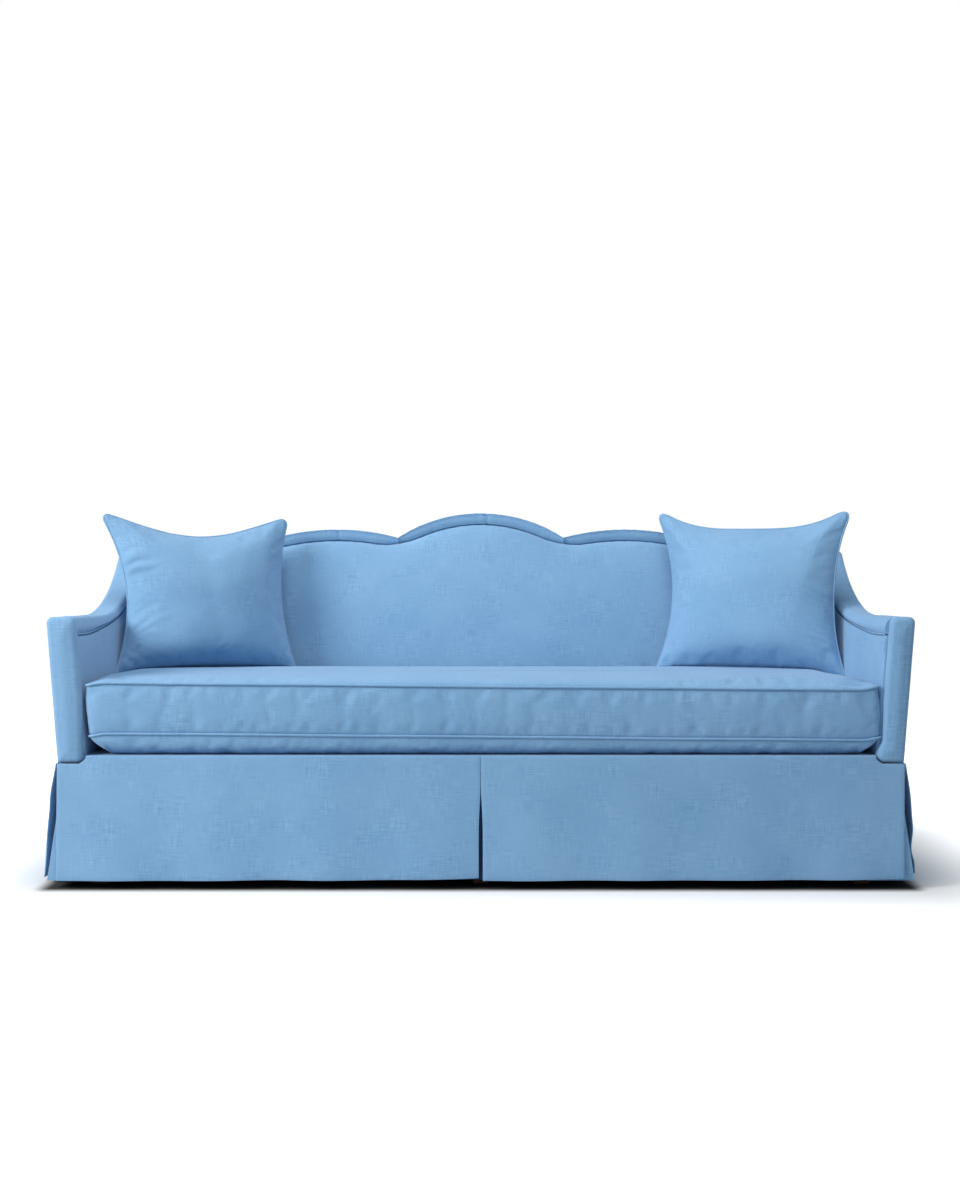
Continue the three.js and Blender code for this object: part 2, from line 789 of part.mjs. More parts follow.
// Outline of the bench cushion, drawn in between its corners, each point with its outward direction
function cushionOutline() {
  const middle = (cushionFront + cushionBack) / 2;
  const halfDepth = (cushionBack - cushionFront) / 2;
  const points = [];
  const corners = [[1, 1, 0], [-1, 1, 1], [-1, -1, 2], [1, -1, 3]];
  corners.forEach(([across, along, turn]) => {
    const x = across * (cushionHalf - cushionCorner);
    const y = along * (halfDepth - cushionCorner);
    const arc = quarter(x, y, cushionCorner, (turn * Math.PI) / 2);
    points.push(...arc);
    const [startX, startY] = arc[cornerSteps];
    const alongSide = turn % 2 === 0;
    const count = alongSide ? cushionSidePoints : cushionEndPoints;
    const run = alongSide ? -2 * (cushionHalf - cushionCorner) : -2 * (halfDepth - cushionCorner);
    const direction = turn < 2 ? 1 : -1;
    for (let step = 1; step < count; step += 1) {
      const share = step / count;
      const draw = alongSide ? 0 : cushionDrawIn * Math.sin(Math.PI * share);
      const moved = direction * run * share;
      points.push(alongSide ? [startX + moved, startY] : [startX - across * draw, startY + moved]);
    }
  });
  return points.map(([x, y]) => [x, y + middle]);
}

// The bench cushion's body, smaller all round by an inset
function cushionBody(inset) {
  const middle = (cushionFront + cushionBack) / 2;
  const halfDepth = (cushionBack - cushionFront) / 2;
  const bottom = deckTop + clearance + inset;
  const outline = cushionOutline().map(([x, y]) => [
    x * (1 - inset / cushionHalf),
    middle + (y - middle) * (1 - inset / halfDepth),
  ]);
  const topSeam = cushionTopSeam - inset;
  const bottomSeam = cushionBottomSeam + inset;
  const ringAt = (share, z) =>
    outline.map(([x, y]) => new THREE.Vector3(x * share, middle + (y - middle) * share, z));
  const crownAt = (share) => 1 - share ** cushionCrownPowerShare;
  const lower = cushionRingShares.map((share) => {
    const belly = (1 - share ** cushionBellyPowerShare) * cushionRestShare;
    return ringAt(share, mix(bottomSeam, bottom, Math.min(1, belly)));
  });
  const upper = cushionRingShares.map((share) => ringAt(share, topSeam + cushionTopCrown * crownAt(share)));
  const under = new THREE.Vector3(0, middle, bottom);
  const over = new THREE.Vector3(0, middle, topSeam + cushionTopCrown);
  return ringed([...lower, ...upper.reverse()], under, over);
}

function buildCushion() {
  const seamMiddle = (cushionTopSeam + cushionBottomSeam) / 2;
  const halfZip = zipLength / 2;
  const slot = (grow) => block(
    [-halfZip - grow, cushionBack - coverThickness - zipTape, seamMiddle - zipWidth / 2 - grow],
    [halfZip + grow, cushionBack + zipTape, seamMiddle + zipWidth / 2 + grow],
  );
  const cover = cut(cushionBody(0), [cushionBody(coverThickness), slot(clearance)]);
  add("seat_cushion_cover", cover, finishes.linen);
  add("seat_cushion_core", cushionBody(coverThickness + coreGap), finishes.foam);
  const tapeBack = cushionBack - clearance;
  const tape = block(
    [-halfZip, tapeBack - zipTape, seamMiddle - zipWidth / 2],
    [halfZip, tapeBack, seamMiddle + zipWidth / 2],
  );
  const teethEnd = halfZip - zipWidth / 2;
  const teeth = block(
    [-teethEnd, tapeBack - zipTape / 2, seamMiddle - zipTeethWidth / 2],
    [teethEnd, tapeBack + zipTeethProud, seamMiddle + zipTeethWidth / 2],
  );
  add("cushion_zip", joined(tape, teeth), finishes.lining);
  const sliderBack = tapeBack + zipTeethProud + clearance;
  const sliderX = -teethEnd + sliderLength;
  const plate = block(
    [sliderX - sliderLength / 2, sliderBack, seamMiddle - sliderWidth / 2],
    [sliderX + sliderLength / 2, sliderBack + sliderThickness, seamMiddle + sliderWidth / 2],
  );
  const lips = [-1, 1].map((way) => {
    const near = seamMiddle + way * (zipTeethWidth / 2 + clearance);
    const far = seamMiddle + (way * sliderWidth) / 2;
    return block(
      [sliderX - sliderLength / 2, tapeBack + clearance, Math.min(near, far)],
      [sliderX + sliderLength / 2, sliderBack + sliderThickness / 2, Math.max(near, far)],
    );
  });
  const pull = block(
    [sliderX - pullWidth / 2, sliderBack + sliderThickness / 2, seamMiddle - pullLength],
    [sliderX + pullWidth / 2, sliderBack + 2 * sliderThickness, seamMiddle],
  );
  add("zip_slider", joined(plate, ...lips, pull), finishes.steel);
}

// Outline of a throw pillow, with drawn-in sides between its corner tips
function pillowOutline(inset) {
  const points = [];
  const halfWidth = pillowWidth / 2 - inset;
  const halfTall = pillowTall / 2 - inset;
  const corners = [[1, 1], [-1, 1], [-1, -1], [1, -1]];
  corners.forEach(([across, up], corner) => {
    const [nextAcross, nextUp] = corners[(corner + 1) % corners.length];
    for (let step = 0; step < pillowPointsPerSide; step += 1) {
      const share = step / pillowPointsPerSide;
      const draw = pillowSideDraw * Math.sin(Math.PI * share) ** pillowDrawPowerShare;
      const x = mix(across, nextAcross, share) * halfWidth;
      const y = mix(up, nextUp, share) * halfTall;
      const level = across !== nextAcross;
      points.push(level ? [x, y - up * draw] : [x - across * draw, y]);
    }
  });
  return points;
}

// A pillow's body in its own frame, smaller all round by an inset
function pillowBody(inset) {
  const outline = pillowOutline(inset * 2);
  const half = pillowThickness / 2 - inset;
  const edge = pillowWelt / 2;
  const puff = (share) => {
    return edge + (half - edge) * (1 - share ** pillowPuffPowerShare) ** pillowEdgePowerShare;
  };
  const ring = (share, z) => outline.map(([x, y]) => new THREE.Vector3(x * share, y * share, z));
  const under = pillowRingShares.map((share) => ring(share, -puff(share)));
  const over = pillowRingShares.map((share) => ring(share, puff(share)));
  const middle = (z) => new THREE.Vector3(0, 0, z);
  return ringed([...under, ...over.reverse()], middle(-half), middle(half));
}

function buildPillow(name, x, depth, footRise, yaw) {
  const group = new THREE.Group();
  const rise = (pillowTall / 2) * Math.cos(pillowLean);
  group.position.set(x, depth, cushionTopSeam + footRise + rise);
  group.rotation.set(Math.PI / 2 - pillowLean, 0, yaw, "ZYX");
  const halfSlot = (pillowWidth * pillowSlotShare) / 2;
  const slot = block(
    [-halfSlot, -pillowTall / 2 - coverThickness, -pillowWelt / 4],
    [halfSlot, -pillowTall / 2 + pillowSideDraw + pillowSlotDeep, pillowWelt / 4],
  );
  const cover = cut(pillowBody(0), [pillowBody(coverThickness), slot]);
  add(`${name}_pillow_cover`, cover, finishes.linen, group);
  add(`${name}_pillow_insert`, pillowBody(coverThickness + coreGap), finishes.foam, group);
  sofa.add(group);
}

// A hanging cloth from its places across, its top and its hem, each as a point for a place
function hangingCloth(places, topAt, hemAt, outward, thickness) {
  return slab(places.length - 1, skirtRows, (column, row, layer) => {
    const share = row / skirtRows;
    const top = topAt(places[column]);
    const hem = hemAt(places[column]);
    const point = top.lerp(hem, share);
    const wave = skirtWave * share * (1 - Math.cos((2 * Math.PI * places[column]) / skirtWavePitch));
    point.addScaledVector(outward, wave);
    return layer ? point.addScaledVector(outward, thickness) : point;
  });
}

// Evenly spread places between two ends
function spread(from, to, steps) {
  return Array.from({ length: steps + 1 }, (_, step) => mix(from, to, step / steps));
}

function buildSkirt() {
  const front = new THREE.Vector3(0, -1, 0);
  const back = new THREE.Vector3(0, 1, 0);
  for (const [name, side] of sides) {
    const armEdge = armInnerHalf - armInsideCrown;
    const inner = spread(0, armEdge - skirtThickness, skirtFrontSteps);
    const places = [...inner, armEdge, skirtFrontHalf];
    const topAt = (place) => {
      const z = place < armEdge ? skirtFrontTop : armBottom - clearance;
      return new THREE.Vector3(side * (place + pleatGap * (1 - place / skirtFrontHalf)), -clearance, z);
    };
    const hemAt = (place) => {
      const share = place / skirtFrontHalf;
      const x = mix(pleatGap + pleatOpen, skirtFrontHemHalf, share);
      return new THREE.Vector3(side * x, -clearance - skirtFrontFlare, skirtHem);
    };
    const frontCloth = hangingCloth(places, topAt, hemAt, front, skirtThickness);
    add(`front_${name}_skirt`, frontCloth, finishes.linen);

    const outer = armInnerHalf + armThickness + clearance;
    const sideways = new THREE.Vector3(side, 0, 0);
    const rear = rearAt(armBottom);
    const sideTop = (place) => new THREE.Vector3(side * outer, place, armBottom - clearance);
    const sideHem = (place) => {
      const share = (place - frameFront) / (rear - frameFront);
      const depth = mix(skirtCornerSlip, rear + skirtBackFlare, share);
      return new THREE.Vector3(side * (outer + skirtSideFlare), depth, skirtHem);
    };
    const along = spread(frameFront, rear, skirtSideSteps);
    const sideCloth = hangingCloth(along, sideTop, sideHem, sideways, skirtThickness);
    add(`${name}_side_skirt`, sideCloth, finishes.linen);
    add(`${name}_corner_skirt_lining`, cornerLining(side), finishes.linen);
  }
  const reach = armInnerHalf + armThickness;
  const backDepthOut = rearAt(armBottom) + outsideBackThickness + 2 * clearance;
  const backTop = (place) => new THREE.Vector3(place, backDepthOut, armBottom - clearance);
  const backHem = (place) => {
    const x = (place * (reach + skirtSideFlare)) / reach;
    return new THREE.Vector3(x, backDepthOut + skirtBackFlare, skirtHem);
  };
  const across = spread(-reach, reach, skirtBackSteps);
  const backCloth = hangingCloth(across, backTop, backHem, back, skirtThickness);
  add("back_skirt", backCloth, finishes.linen);
  const liningY = frameFront - clearance - skirtLiningThickness;
  const middleLining = slab(liningSteps, skirtRows, (column, row, layer) => {
    const share = row / skirtRows;
    const x = mix(-pleatLiningHalf, pleatLiningHalf, column / liningSteps);
    const depth = liningY - liningFlareShare * skirtFrontFlare * share + (layer ? skirtLiningThickness : 0);
    return new THREE.Vector3(x, depth, mix(liningTop, skirtHem, share));
  });
  add("centre_skirt_lining", middleLining, finishes.linen);
}

// The cloth behind a front corner's pleat, bent round the corner of the frame
function cornerLining(side) {
  const gap = clearance;
  const legFront = [
    [sideRailOuterHalf - cornerLiningLeg, frameFront - gap],
    [sideRailOuterHalf + gap, frameFront - gap],
    [sideRailOuterHalf + gap, frameFront + cornerLiningLeg],
  ];
  const thick = skirtLiningThickness;
  const grow = [[0, -thick], [thick, -thick], [thick, 0]];
  const flare = [[0, -skirtFrontFlare], [skirtSideFlare, -skirtFrontFlare], [skirtSideFlare, 0]];
  return slab(2, skirtRows, (column, row, layer) => {
    const share = (row / skirtRows) * liningFlareShare;
    const [x, y] = legFront[column];
    const [growX, growY] = grow[column];
    const [flareX, flareY] = flare[column];
    const across = x + (layer ? growX : 0) + flareX * share;
    const depth = y + (layer ? growY : 0) + flareY * share;
    return new THREE.Vector3(side * across, depth, mix(liningTop, skirtHem, row / skirtRows));
  });
}

buildSeatFrame();
buildDeck();
buildArms();
buildBack();
buildCushion();
const leftPillowX = leftPillowFromArm - armInnerHalf;
const leftPillowDepth = backFaceDepth - leftPillowFromBack;
buildPillow("left", leftPillowX, leftPillowDepth, leftPillowFoot, leftPillowYaw);
const rightPillowX = armInnerHalf - rightPillowFromArm;
const rightPillowDepth = backFaceDepth - rightPillowFromBack;
buildPillow("right", rightPillowX, rightPillowDepth, rightPillowFoot, rightPillowYaw);
buildSkirt();

// The origin is on the floor under the middle of the sofa
sofa.updateMatrixWorld(true);
const reach = new THREE.Box3().setFromObject(sofa, true);
sofa.position.y = -(reach.min.y + reach.max.y) / 2;

export default sofa;
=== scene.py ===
"""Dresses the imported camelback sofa: padded arms and back, simulated cushions, skirt, linen and studio."""

import json
import logging
import math
from dataclasses import dataclass
from enum import Enum
from functools import cache
from typing import Callable, Iterable, Sequence

import bpy
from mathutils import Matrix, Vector, noise


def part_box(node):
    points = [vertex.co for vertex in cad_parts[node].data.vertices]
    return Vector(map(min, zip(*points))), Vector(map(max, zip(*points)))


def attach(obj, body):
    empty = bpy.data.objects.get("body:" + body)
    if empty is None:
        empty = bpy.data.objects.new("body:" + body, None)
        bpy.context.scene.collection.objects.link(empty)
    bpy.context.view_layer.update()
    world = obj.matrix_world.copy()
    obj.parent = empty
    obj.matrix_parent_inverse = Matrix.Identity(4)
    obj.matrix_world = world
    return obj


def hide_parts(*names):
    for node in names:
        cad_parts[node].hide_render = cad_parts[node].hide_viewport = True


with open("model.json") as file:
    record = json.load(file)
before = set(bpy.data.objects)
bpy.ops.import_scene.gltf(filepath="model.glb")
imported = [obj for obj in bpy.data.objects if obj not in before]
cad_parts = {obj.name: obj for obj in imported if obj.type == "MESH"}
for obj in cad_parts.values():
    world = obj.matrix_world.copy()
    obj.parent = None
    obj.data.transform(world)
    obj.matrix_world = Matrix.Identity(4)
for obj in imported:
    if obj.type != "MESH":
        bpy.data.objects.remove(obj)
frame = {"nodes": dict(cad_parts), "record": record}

LOG = logging.getLogger("camelback_sofa")
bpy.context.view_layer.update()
MM = 0.001
BREAK_ANGLE = math.radians(50)
Place = Callable[[float, float], Vector]
Layered = Callable[[float, float, float], Vector]
ClothMap = Callable[[Vector, Vector], tuple[float, float]]
Tone = tuple[int, int, int]


class Side(Enum):
    """The two ends of the sofa, seen from the front."""

    LEFT = ("left", -1)
    RIGHT = ("right", 1)

    @property
    def word(self) -> str:
        """The side's name in node names."""
        return self.value[0]

    @property
    def sign(self) -> int:
        """The side's direction along X."""
        return self.value[1]


def mix(low: float, high: float, share: float) -> float:
    """The value a share of the way from low to high."""
    return low + (high - low) * share


def clamp(value: float, low: float = 0.0, high: float = 1.0) -> float:
    """The value kept between low and high."""
    return max(low, min(high, value))


def smooth(share: float) -> float:
    """An ease in and out of a share between 0 and 1."""
    share = clamp(share)
    return share * share * (3 - 2 * share)


def rise_from(value: float, start: float, run: float) -> float:
    """An ease from 0 to 1 over a run that starts at a value."""
    return smooth((value - start) / run)


def arc_rise(offset: float, half: float, rise: float) -> float:
    """Height of a circular arc over its chord.

    Args:
        offset: Distance from the middle of the chord.
        half: Half of the chord.
        rise: Height of the arc at the middle.

    Returns:
        The arc's height at the offset.
    """
    radius = (half * half + rise * rise) / (2 * rise)
    return rise - radius + math.sqrt(max(radius * radius - offset * offset, 0.0))


def between(knots: Sequence[tuple[float, float]], place: float) -> float:
    """The value at a place, eased between knots of place and value."""
    for (a, low), (b, high) in zip(knots, knots[1:]):
        if place <= b:
            return mix(low, high, smooth((place - a) / (b - a)))
    return knots[-1][1]


@dataclass(frozen=True)
class SofaPlan:
    """The sofa's shared lines, in metres, that its padded pieces follow."""

    front: float
    arm_height: float
    arm_bottom: float = 310 * MM
    arm_inner_half: float = 990 * MM
    arm_thickness: float = 68 * MM
    arm_lean: float = math.tan(math.radians(4.6))
    facing_thickness: float = 20 * MM
    shoulder_rise: float = 187 * MM
    sweep_run: float = 465 * MM
    sweep_end: float = 755 * MM
    sweep_power: float = 2.1
    top_pad_deep: float = 44 * MM
    back_depth: float = 716 * MM
    back_face: float = 630 * MM
    rake: float = math.tan(math.radians(12))
    cusp_half: float = 252 * MM
    lobe_width: float = 374 * MM
    crest_rise: float = 75 * MM
    cusp_rise: float = 40 * MM
    lobe_rise: float = 25 * MM
    shoulder_power: float = 2.2
    band: float = 34 * MM
    seam_ease: float = 70 * MM
    frame_bottom: float = 290.3 * MM
    deck_top: float = 328.5 * MM
    gap: float = 0.3 * MM
    slope_step: float = 12 * MM
    arm_end_hold: float = 40 * MM
    seam_samples: int = 8

    @property
    def shoulder(self) -> float:
        """Height of the arm's top line where it meets the back."""
        return self.arm_height + self.shoulder_rise

    @property
    def lobe_end(self) -> float:
        """Distance from the middle to the outer end of a side lobe."""
        return self.cusp_half + self.lobe_width

    def arm_inner_at(self, z: float) -> float:
        """Distance from the middle to an arm's inner face at a height."""
        return self.arm_inner_half + self.arm_lean * (z - self.arm_bottom)

    def rear_at(self, z: float) -> float:
        """Depth of the back's rear plane at a height."""
        return self.back_depth + self.rake * (z - self.arm_bottom)

    def arm_top_at(self, depth: float) -> float:
        """Height of the arm's top line at a depth."""
        share = clamp((depth - self.sweep_end + self.sweep_run) / self.sweep_run)
        return self.arm_height + self.shoulder_rise * share**self.sweep_power

    def arm_stretch_at(self, depth: float) -> float:
        """How much a drop square to the arm's top line grows when it is measured upright."""
        step = self.slope_step
        slope = (self.arm_top_at(depth + step) - self.arm_top_at(depth - step)) / (2 * step)
        return math.hypot(1, slope)

    def back_half_at(self, z: float) -> float:
        """Half of the width between the arms at a height."""
        return self.arm_inner_at(z) - self.gap

    def crest_at(self, x: float) -> float:
        """Height of the camelback outline: a middle hump, a lobe each side, a slope to the shoulder."""
        reach = abs(x)
        cusp = self.shoulder + self.cusp_rise
        if reach <= self.cusp_half:
            return cusp + arc_rise(reach, self.cusp_half, self.crest_rise)
        half = self.lobe_width / 2
        if reach <= self.lobe_end:
            return cusp + arc_rise(reach - self.cusp_half - half, half, self.lobe_rise)
        end = self.arm_inner_at(self.shoulder)
        share = clamp((reach - self.lobe_end) / (end - self.lobe_end))
        return self.shoulder + self.cusp_rise * (1 - share) ** self.shoulder_power

    def seam_at(self, x: float) -> float:
        """Height of the seam under the top border, which runs smoothly under the hump's cusps."""
        steps = self.seam_samples
        heights = [self.crest_at(x + self.seam_ease * step / steps) for step in range(-steps, steps + 1)]
        return min(sum(heights) / len(heights), self.crest_at(x) + self.band / 2) - self.band

    def at_depth(self, x: float, depth: float, z: float) -> Vector:
        """A point from its depth behind the arm facings."""
        return Vector((x, self.front + depth, z))

    def back_point(self, place: float, z: float, depth: float) -> Vector:
        """A point of the back.

        Args:
            place: Where it lies across the top line, from the middle.
            z: Its height.
            depth: Its depth before the back's rake is added.

        Returns:
            The point in the sofa's frame.
        """
        x = place * self.back_half_at(z) / self.back_half_at(self.crest_at(place))
        return self.at_depth(x, depth + self.rake * (z - self.arm_bottom), z)

    def arm_point(self, side: Side, across: float, depth: float, drop: float) -> Vector:
        """A point of an arm.

        Args:
            side: Which arm.
            across: Distance outwards from the arm's inner face.
            depth: Depth of the station on the top line.
            drop: Distance below the top line, square to it.

        Returns:
            The point in the sofa's frame.
        """
        end = self.rear_at(self.shoulder)
        down = drop * self.arm_stretch_at(min(depth, end - self.arm_end_hold))
        z = self.arm_top_at(depth) - down
        tilt = self.rake * clamp(depth / end)
        return self.at_depth(side.sign * (self.arm_inner_at(z) + across), depth - down * tilt, z)


PLAN = SofaPlan(front=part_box("left_arm_facing")[0][1], arm_height=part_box("left_arm_facing")[1][2])


# Mesh tools

def deselect() -> None:
    """Leaves no object selected."""
    bpy.ops.object.select_all(action="DESELECT")


def pick(obj: bpy.types.Object) -> None:
    """Makes one object the only selected and active one."""
    deselect()
    obj.select_set(True)
    bpy.context.view_layer.objects.active = obj


def edit_all(obj: bpy.types.Object) -> None:
    """Opens an object in edit mode with everything selected."""
    pick(obj)
    bpy.ops.object.mode_set(mode="EDIT")
    bpy.ops.mesh.select_all(action="SELECT")


def close_edit() -> None:
    """Goes back to object mode."""
    bpy.ops.object.mode_set(mode="OBJECT")


def turn_outwards(obj: bpy.types.Object) -> None:
    """Merges doubled points and turns all faces to point out."""
    edit_all(obj)
    bpy.ops.mesh.remove_doubles(threshold=0.01 * MM)
    bpy.ops.mesh.normals_make_consistent(inside=False)
    close_edit()


def apply_modifiers(obj: bpy.types.Object) -> None:
    """Applies every modifier of an object in order."""
    pick(obj)
    for modifier in list(obj.modifiers):
        bpy.ops.object.modifier_apply(modifier=modifier.name)


def settle(obj: bpy.types.Object) -> None:
    """Puts an object's place into its mesh, so that the object sits at the origin."""
    pick(obj)
    bpy.ops.object.transform_apply(location=True, rotation=True, scale=True)


def shade(obj: bpy.types.Object, degrees: float = 50) -> None:
    """Shades an object smooth, with edges sharper than an angle kept crisp."""
    pick(obj)
    bpy.ops.object.shade_smooth_by_angle(angle=math.radians(degrees))


def bevel_edges(
    obj: bpy.types.Object,
    wanted: Callable[[Vector, Vector], bool],
    width: float,
    segments: int = 4,
) -> None:
    """Rounds the edges that a test picks.

    Args:
        obj: The object, at the origin.
        wanted: Says of an edge's two ends whether it is rounded.
        width: The bevel's width.
        segments: How many faces the round has.
    """
    pick(obj)
    mesh = obj.data
    bpy.ops.object.mode_set(mode="EDIT")
    bpy.ops.mesh.select_mode(type="EDGE")
    bpy.ops.mesh.select_all(action="DESELECT")
    bpy.ops.object.mode_set(mode="OBJECT")
    for edge in mesh.edges:
        a, b = (mesh.vertices[i].co for i in edge.vertices)
        edge.select = wanted(a, b)
    bpy.ops.object.mode_set(mode="EDIT")
    bpy.ops.mesh.bevel(offset=width, segments=segments, profile=0.5, clamp_overlap=True)
    bpy.ops.mesh.select_mode(type="VERT")
    close_edit()


def soft_edges(obj: bpy.types.Object, width: float, segments: int = 3) -> None:
    """Rounds all sharp edges with a bevel, applied."""
    bevel = obj.modifiers.new("soft_edges", "BEVEL")
    bevel.width = width
    bevel.segments = segments
    bevel.limit_method = "ANGLE"
    bevel.angle_limit = BREAK_ANGLE
    apply_modifiers(obj)


def subdivide_once(obj: bpy.types.Object) -> None:
    """Subdivides an object once, applied."""
    modifier = obj.modifiers.new("subdivide", "SUBSURF")
    modifier.levels = modifier.render_levels = 1
    apply_modifiers(obj)


def add_pad(name: str, columns: int, rows: int, near: Place, far: Place) -> bpy.types.Object:
    """A closed pad between a near and a far surface, from a grid that is extruded and shaped.

    Args:
        name: The piece's name.
        columns: Cells across.
        rows: Cells up.
        near: Gives the near surface's point for shares across and up.
        far: Gives the far surface's point for shares across and up.

    Returns:
        The new object, at the origin.
    """
    deselect()
    bpy.ops.mesh.primitive_grid_add(x_subdivisions=columns, y_subdivisions=rows, size=1)
    obj = bpy.context.object
    obj.name = obj.data.name = name
    edit_all(obj)
    bpy.ops.mesh.extrude_region_move(TRANSFORM_OT_translate={"value": (0, 0, 1)})
    close_edit()
    for vertex in obj.data.vertices:
        across, up = vertex.co.x + 0.5, vertex.co.y + 0.5
        vertex.co = far(across, up) if vertex.co.z > 0.5 else near(across, up)
    turn_outwards(obj)
    return obj


def add_slab(
    name: str, columns: int, rows: int, at: Layered, layers: tuple[float, float]
) -> bpy.types.Object:
    """A pad between two layers of one surface.

    Args:
        name: The piece's name.
        columns: Cells across.
        rows: Cells up.
        at: Gives the point for shares across and up, and a layer's place.
        layers: The near and the far layer's place.

    Returns:
        The new object, at the origin.
    """
    near, far = layers
    return add_pad(name, columns, rows, lambda u, v: at(u, v, near), lambda u, v: at(u, v, far))


@dataclass(frozen=True)
class RoundedOutline:
    """A rectangle with its own radius at each corner, walked evenly anticlockwise."""

    low: tuple[float, float]
    high: tuple[float, float]
    radii: tuple[float, float, float, float]

    def at(self, turn: float) -> Vector:
        """The point at a share of the way round.

        Args:
            turn: The share, where 0 and 1 are the same point on the lower edge.

        Returns:
            The point, with no height.
        """
        (x0, y0), (x1, y1) = self.low, self.high
        r0, r1, r2, r3 = self.radii
        quarter = math.pi / 2
        corners = [
            (Vector((x1 - r1, y0 + r1, 0)), r1, -quarter),
            (Vector((x1 - r2, y1 - r2, 0)), r2, 0.0),
            (Vector((x0 + r3, y1 - r3, 0)), r3, quarter),
            (Vector((x0 + r0, y0 + r0, 0)), r0, math.pi),
        ]
        sides = [x1 - x0 - r0 - r1, y1 - y0 - r1 - r2, x1 - x0 - r2 - r3, y1 - y0 - r3 - r0]
        whole = sum(sides) + quarter * sum(self.radii)
        left = (turn % 1.0) * whole
        start = Vector((x0 + r0, y0, 0))
        ways = [Vector((1, 0, 0)), Vector((0, 1, 0)), Vector((-1, 0, 0)), Vector((0, -1, 0))]
        for way, side, (centre, radius, angle) in zip(ways, sides, corners):
            if left <= side:
                return start + way * left
            left -= side
            arc = quarter * radius
            turned = angle + min(left / radius, quarter)
            start = centre + radius * Vector((math.cos(turned), math.sin(turned), 0))
            if left <= arc:
                return start
            left -= arc
        return Vector((x0 + r0, y0, 0))

    def spine_of(self, point: Vector) -> Vector:
        """The nearest point of the rectangle's long middle line."""
        (x0, y0), (x1, y1) = self.low, self.high
        reach = min(x1 - x0, y1 - y0) / 2
        x = clamp(point.x, x0 + reach, x1 - reach)
        return Vector((x, clamp(point.y, y0 + reach, y1 - reach), 0))


def add_shell(
    name: str, around: int, rings: Sequence[tuple[float, float]], outline: RoundedOutline
) -> bpy.types.Object:
    """A closed form of rings inside an outline, from a grid that is wrapped and merged.

    Args:
        name: The piece's name.
        around: Points round each ring.
        rings: For each ring its share of the way in to the middle line, and its height.
        outline: The outline that the rings lie in.

    Returns:
        The new object, at the origin, with heights along Z.
    """
    deselect()
    bpy.ops.mesh.primitive_grid_add(x_subdivisions=around, y_subdivisions=len(rings) - 1, size=1)
    obj = bpy.context.object
    obj.name = obj.data.name = name
    points = [outline.at(step / around) for step in range(around)]
    for vertex in obj.data.vertices:
        edge = points[round((vertex.co.x + 0.5) * around) % around]
        share, height = rings[round((vertex.co.y + 0.5) * (len(rings) - 1))]
        place = edge.lerp(outline.spine_of(edge), share)
        vertex.co = Vector((place.x, place.y, height))
    turn_outwards(obj)
    return obj


def add_piping(name: str, points: Sequence[Vector], radius: float, closed: bool = False) -> bpy.types.Object:
    """A round welt along a line of points, as a mesh.

    Args:
        name: The piece's name.
        points: The line that the welt follows.
        radius: The welt's radius.
        closed: Whether the line comes back to its start.

    Returns:
        The new object, at the origin.
    """
    curve = bpy.data.curves.new(name, "CURVE")
    curve.dimensions = "3D"
    curve.bevel_depth = radius
    curve.bevel_resolution = 3
    curve.use_fill_caps = not closed
    spline = curve.splines.new("POLY")
    spline.points.add(len(points) - 1)
    spline.use_cyclic_u = closed
    for point, place in zip(spline.points, points):
        point.co = (*place, 1)
    obj = bpy.data.objects.new(name, curve)
    bpy.context.collection.objects.link(obj)
    pick(obj)
    bpy.ops.object.convert(target="MESH")
    piping = bpy.context.object
    piping.name = piping.data.name = name
    turn_outwards(piping)
    return piping


def ripple(obj: bpy.types.Object, height: Callable[[Vector, Vector], float]) -> None:
    """Moves each point of an object along its normal.

    Args:
        obj: The object, at the origin.
        height: Gives the move for a point and its normal.
    """
    moves = [(v, v.co + v.normal * height(v.co, v.normal)) for v in obj.data.vertices]
    for vertex, place in moves:
        vertex.co = place


def box_map(point: Vector, normal: Vector) -> tuple[float, float]:
    """Place on the cloth, in metres, for a point that faces mostly along one axis."""
    x, y, z = (abs(value) for value in normal)
    if z >= max(x, y):
        return point.x, point.y
    return (point.x, point.z) if y >= x else (point.y, point.z)


def lay_cloth(obj: bpy.types.Object, place: ClothMap = box_map) -> None:
    """Gives a piece the map that its weave follows.

    Args:
        obj: The piece.
        place: Gives the place on the cloth for a point and its face's normal.
    """
    mesh = obj.data
    layer = mesh.uv_layers.get("cloth") or mesh.uv_layers.new(name="cloth")
    for face in mesh.polygons:
        for loop in face.loop_indices:
            point = mesh.vertices[mesh.loops[loop].vertex_index].co
            layer.data[loop].uv = place(point, face.normal)


@dataclass(frozen=True)
class Waver:
    """Smooth unevenness of a height, with lumps of a size."""

    height: float
    size: float
    seed: float = 0.0

    def at(self, point: Vector, extra: float = 0.0) -> float:
        """The unevenness at a point, with an extra seed that tells like pieces apart."""
        seed = self.seed + extra
        return self.height * noise.noise(point / self.size + Vector((seed, 2.7 * seed, -seed)))


# Finishes

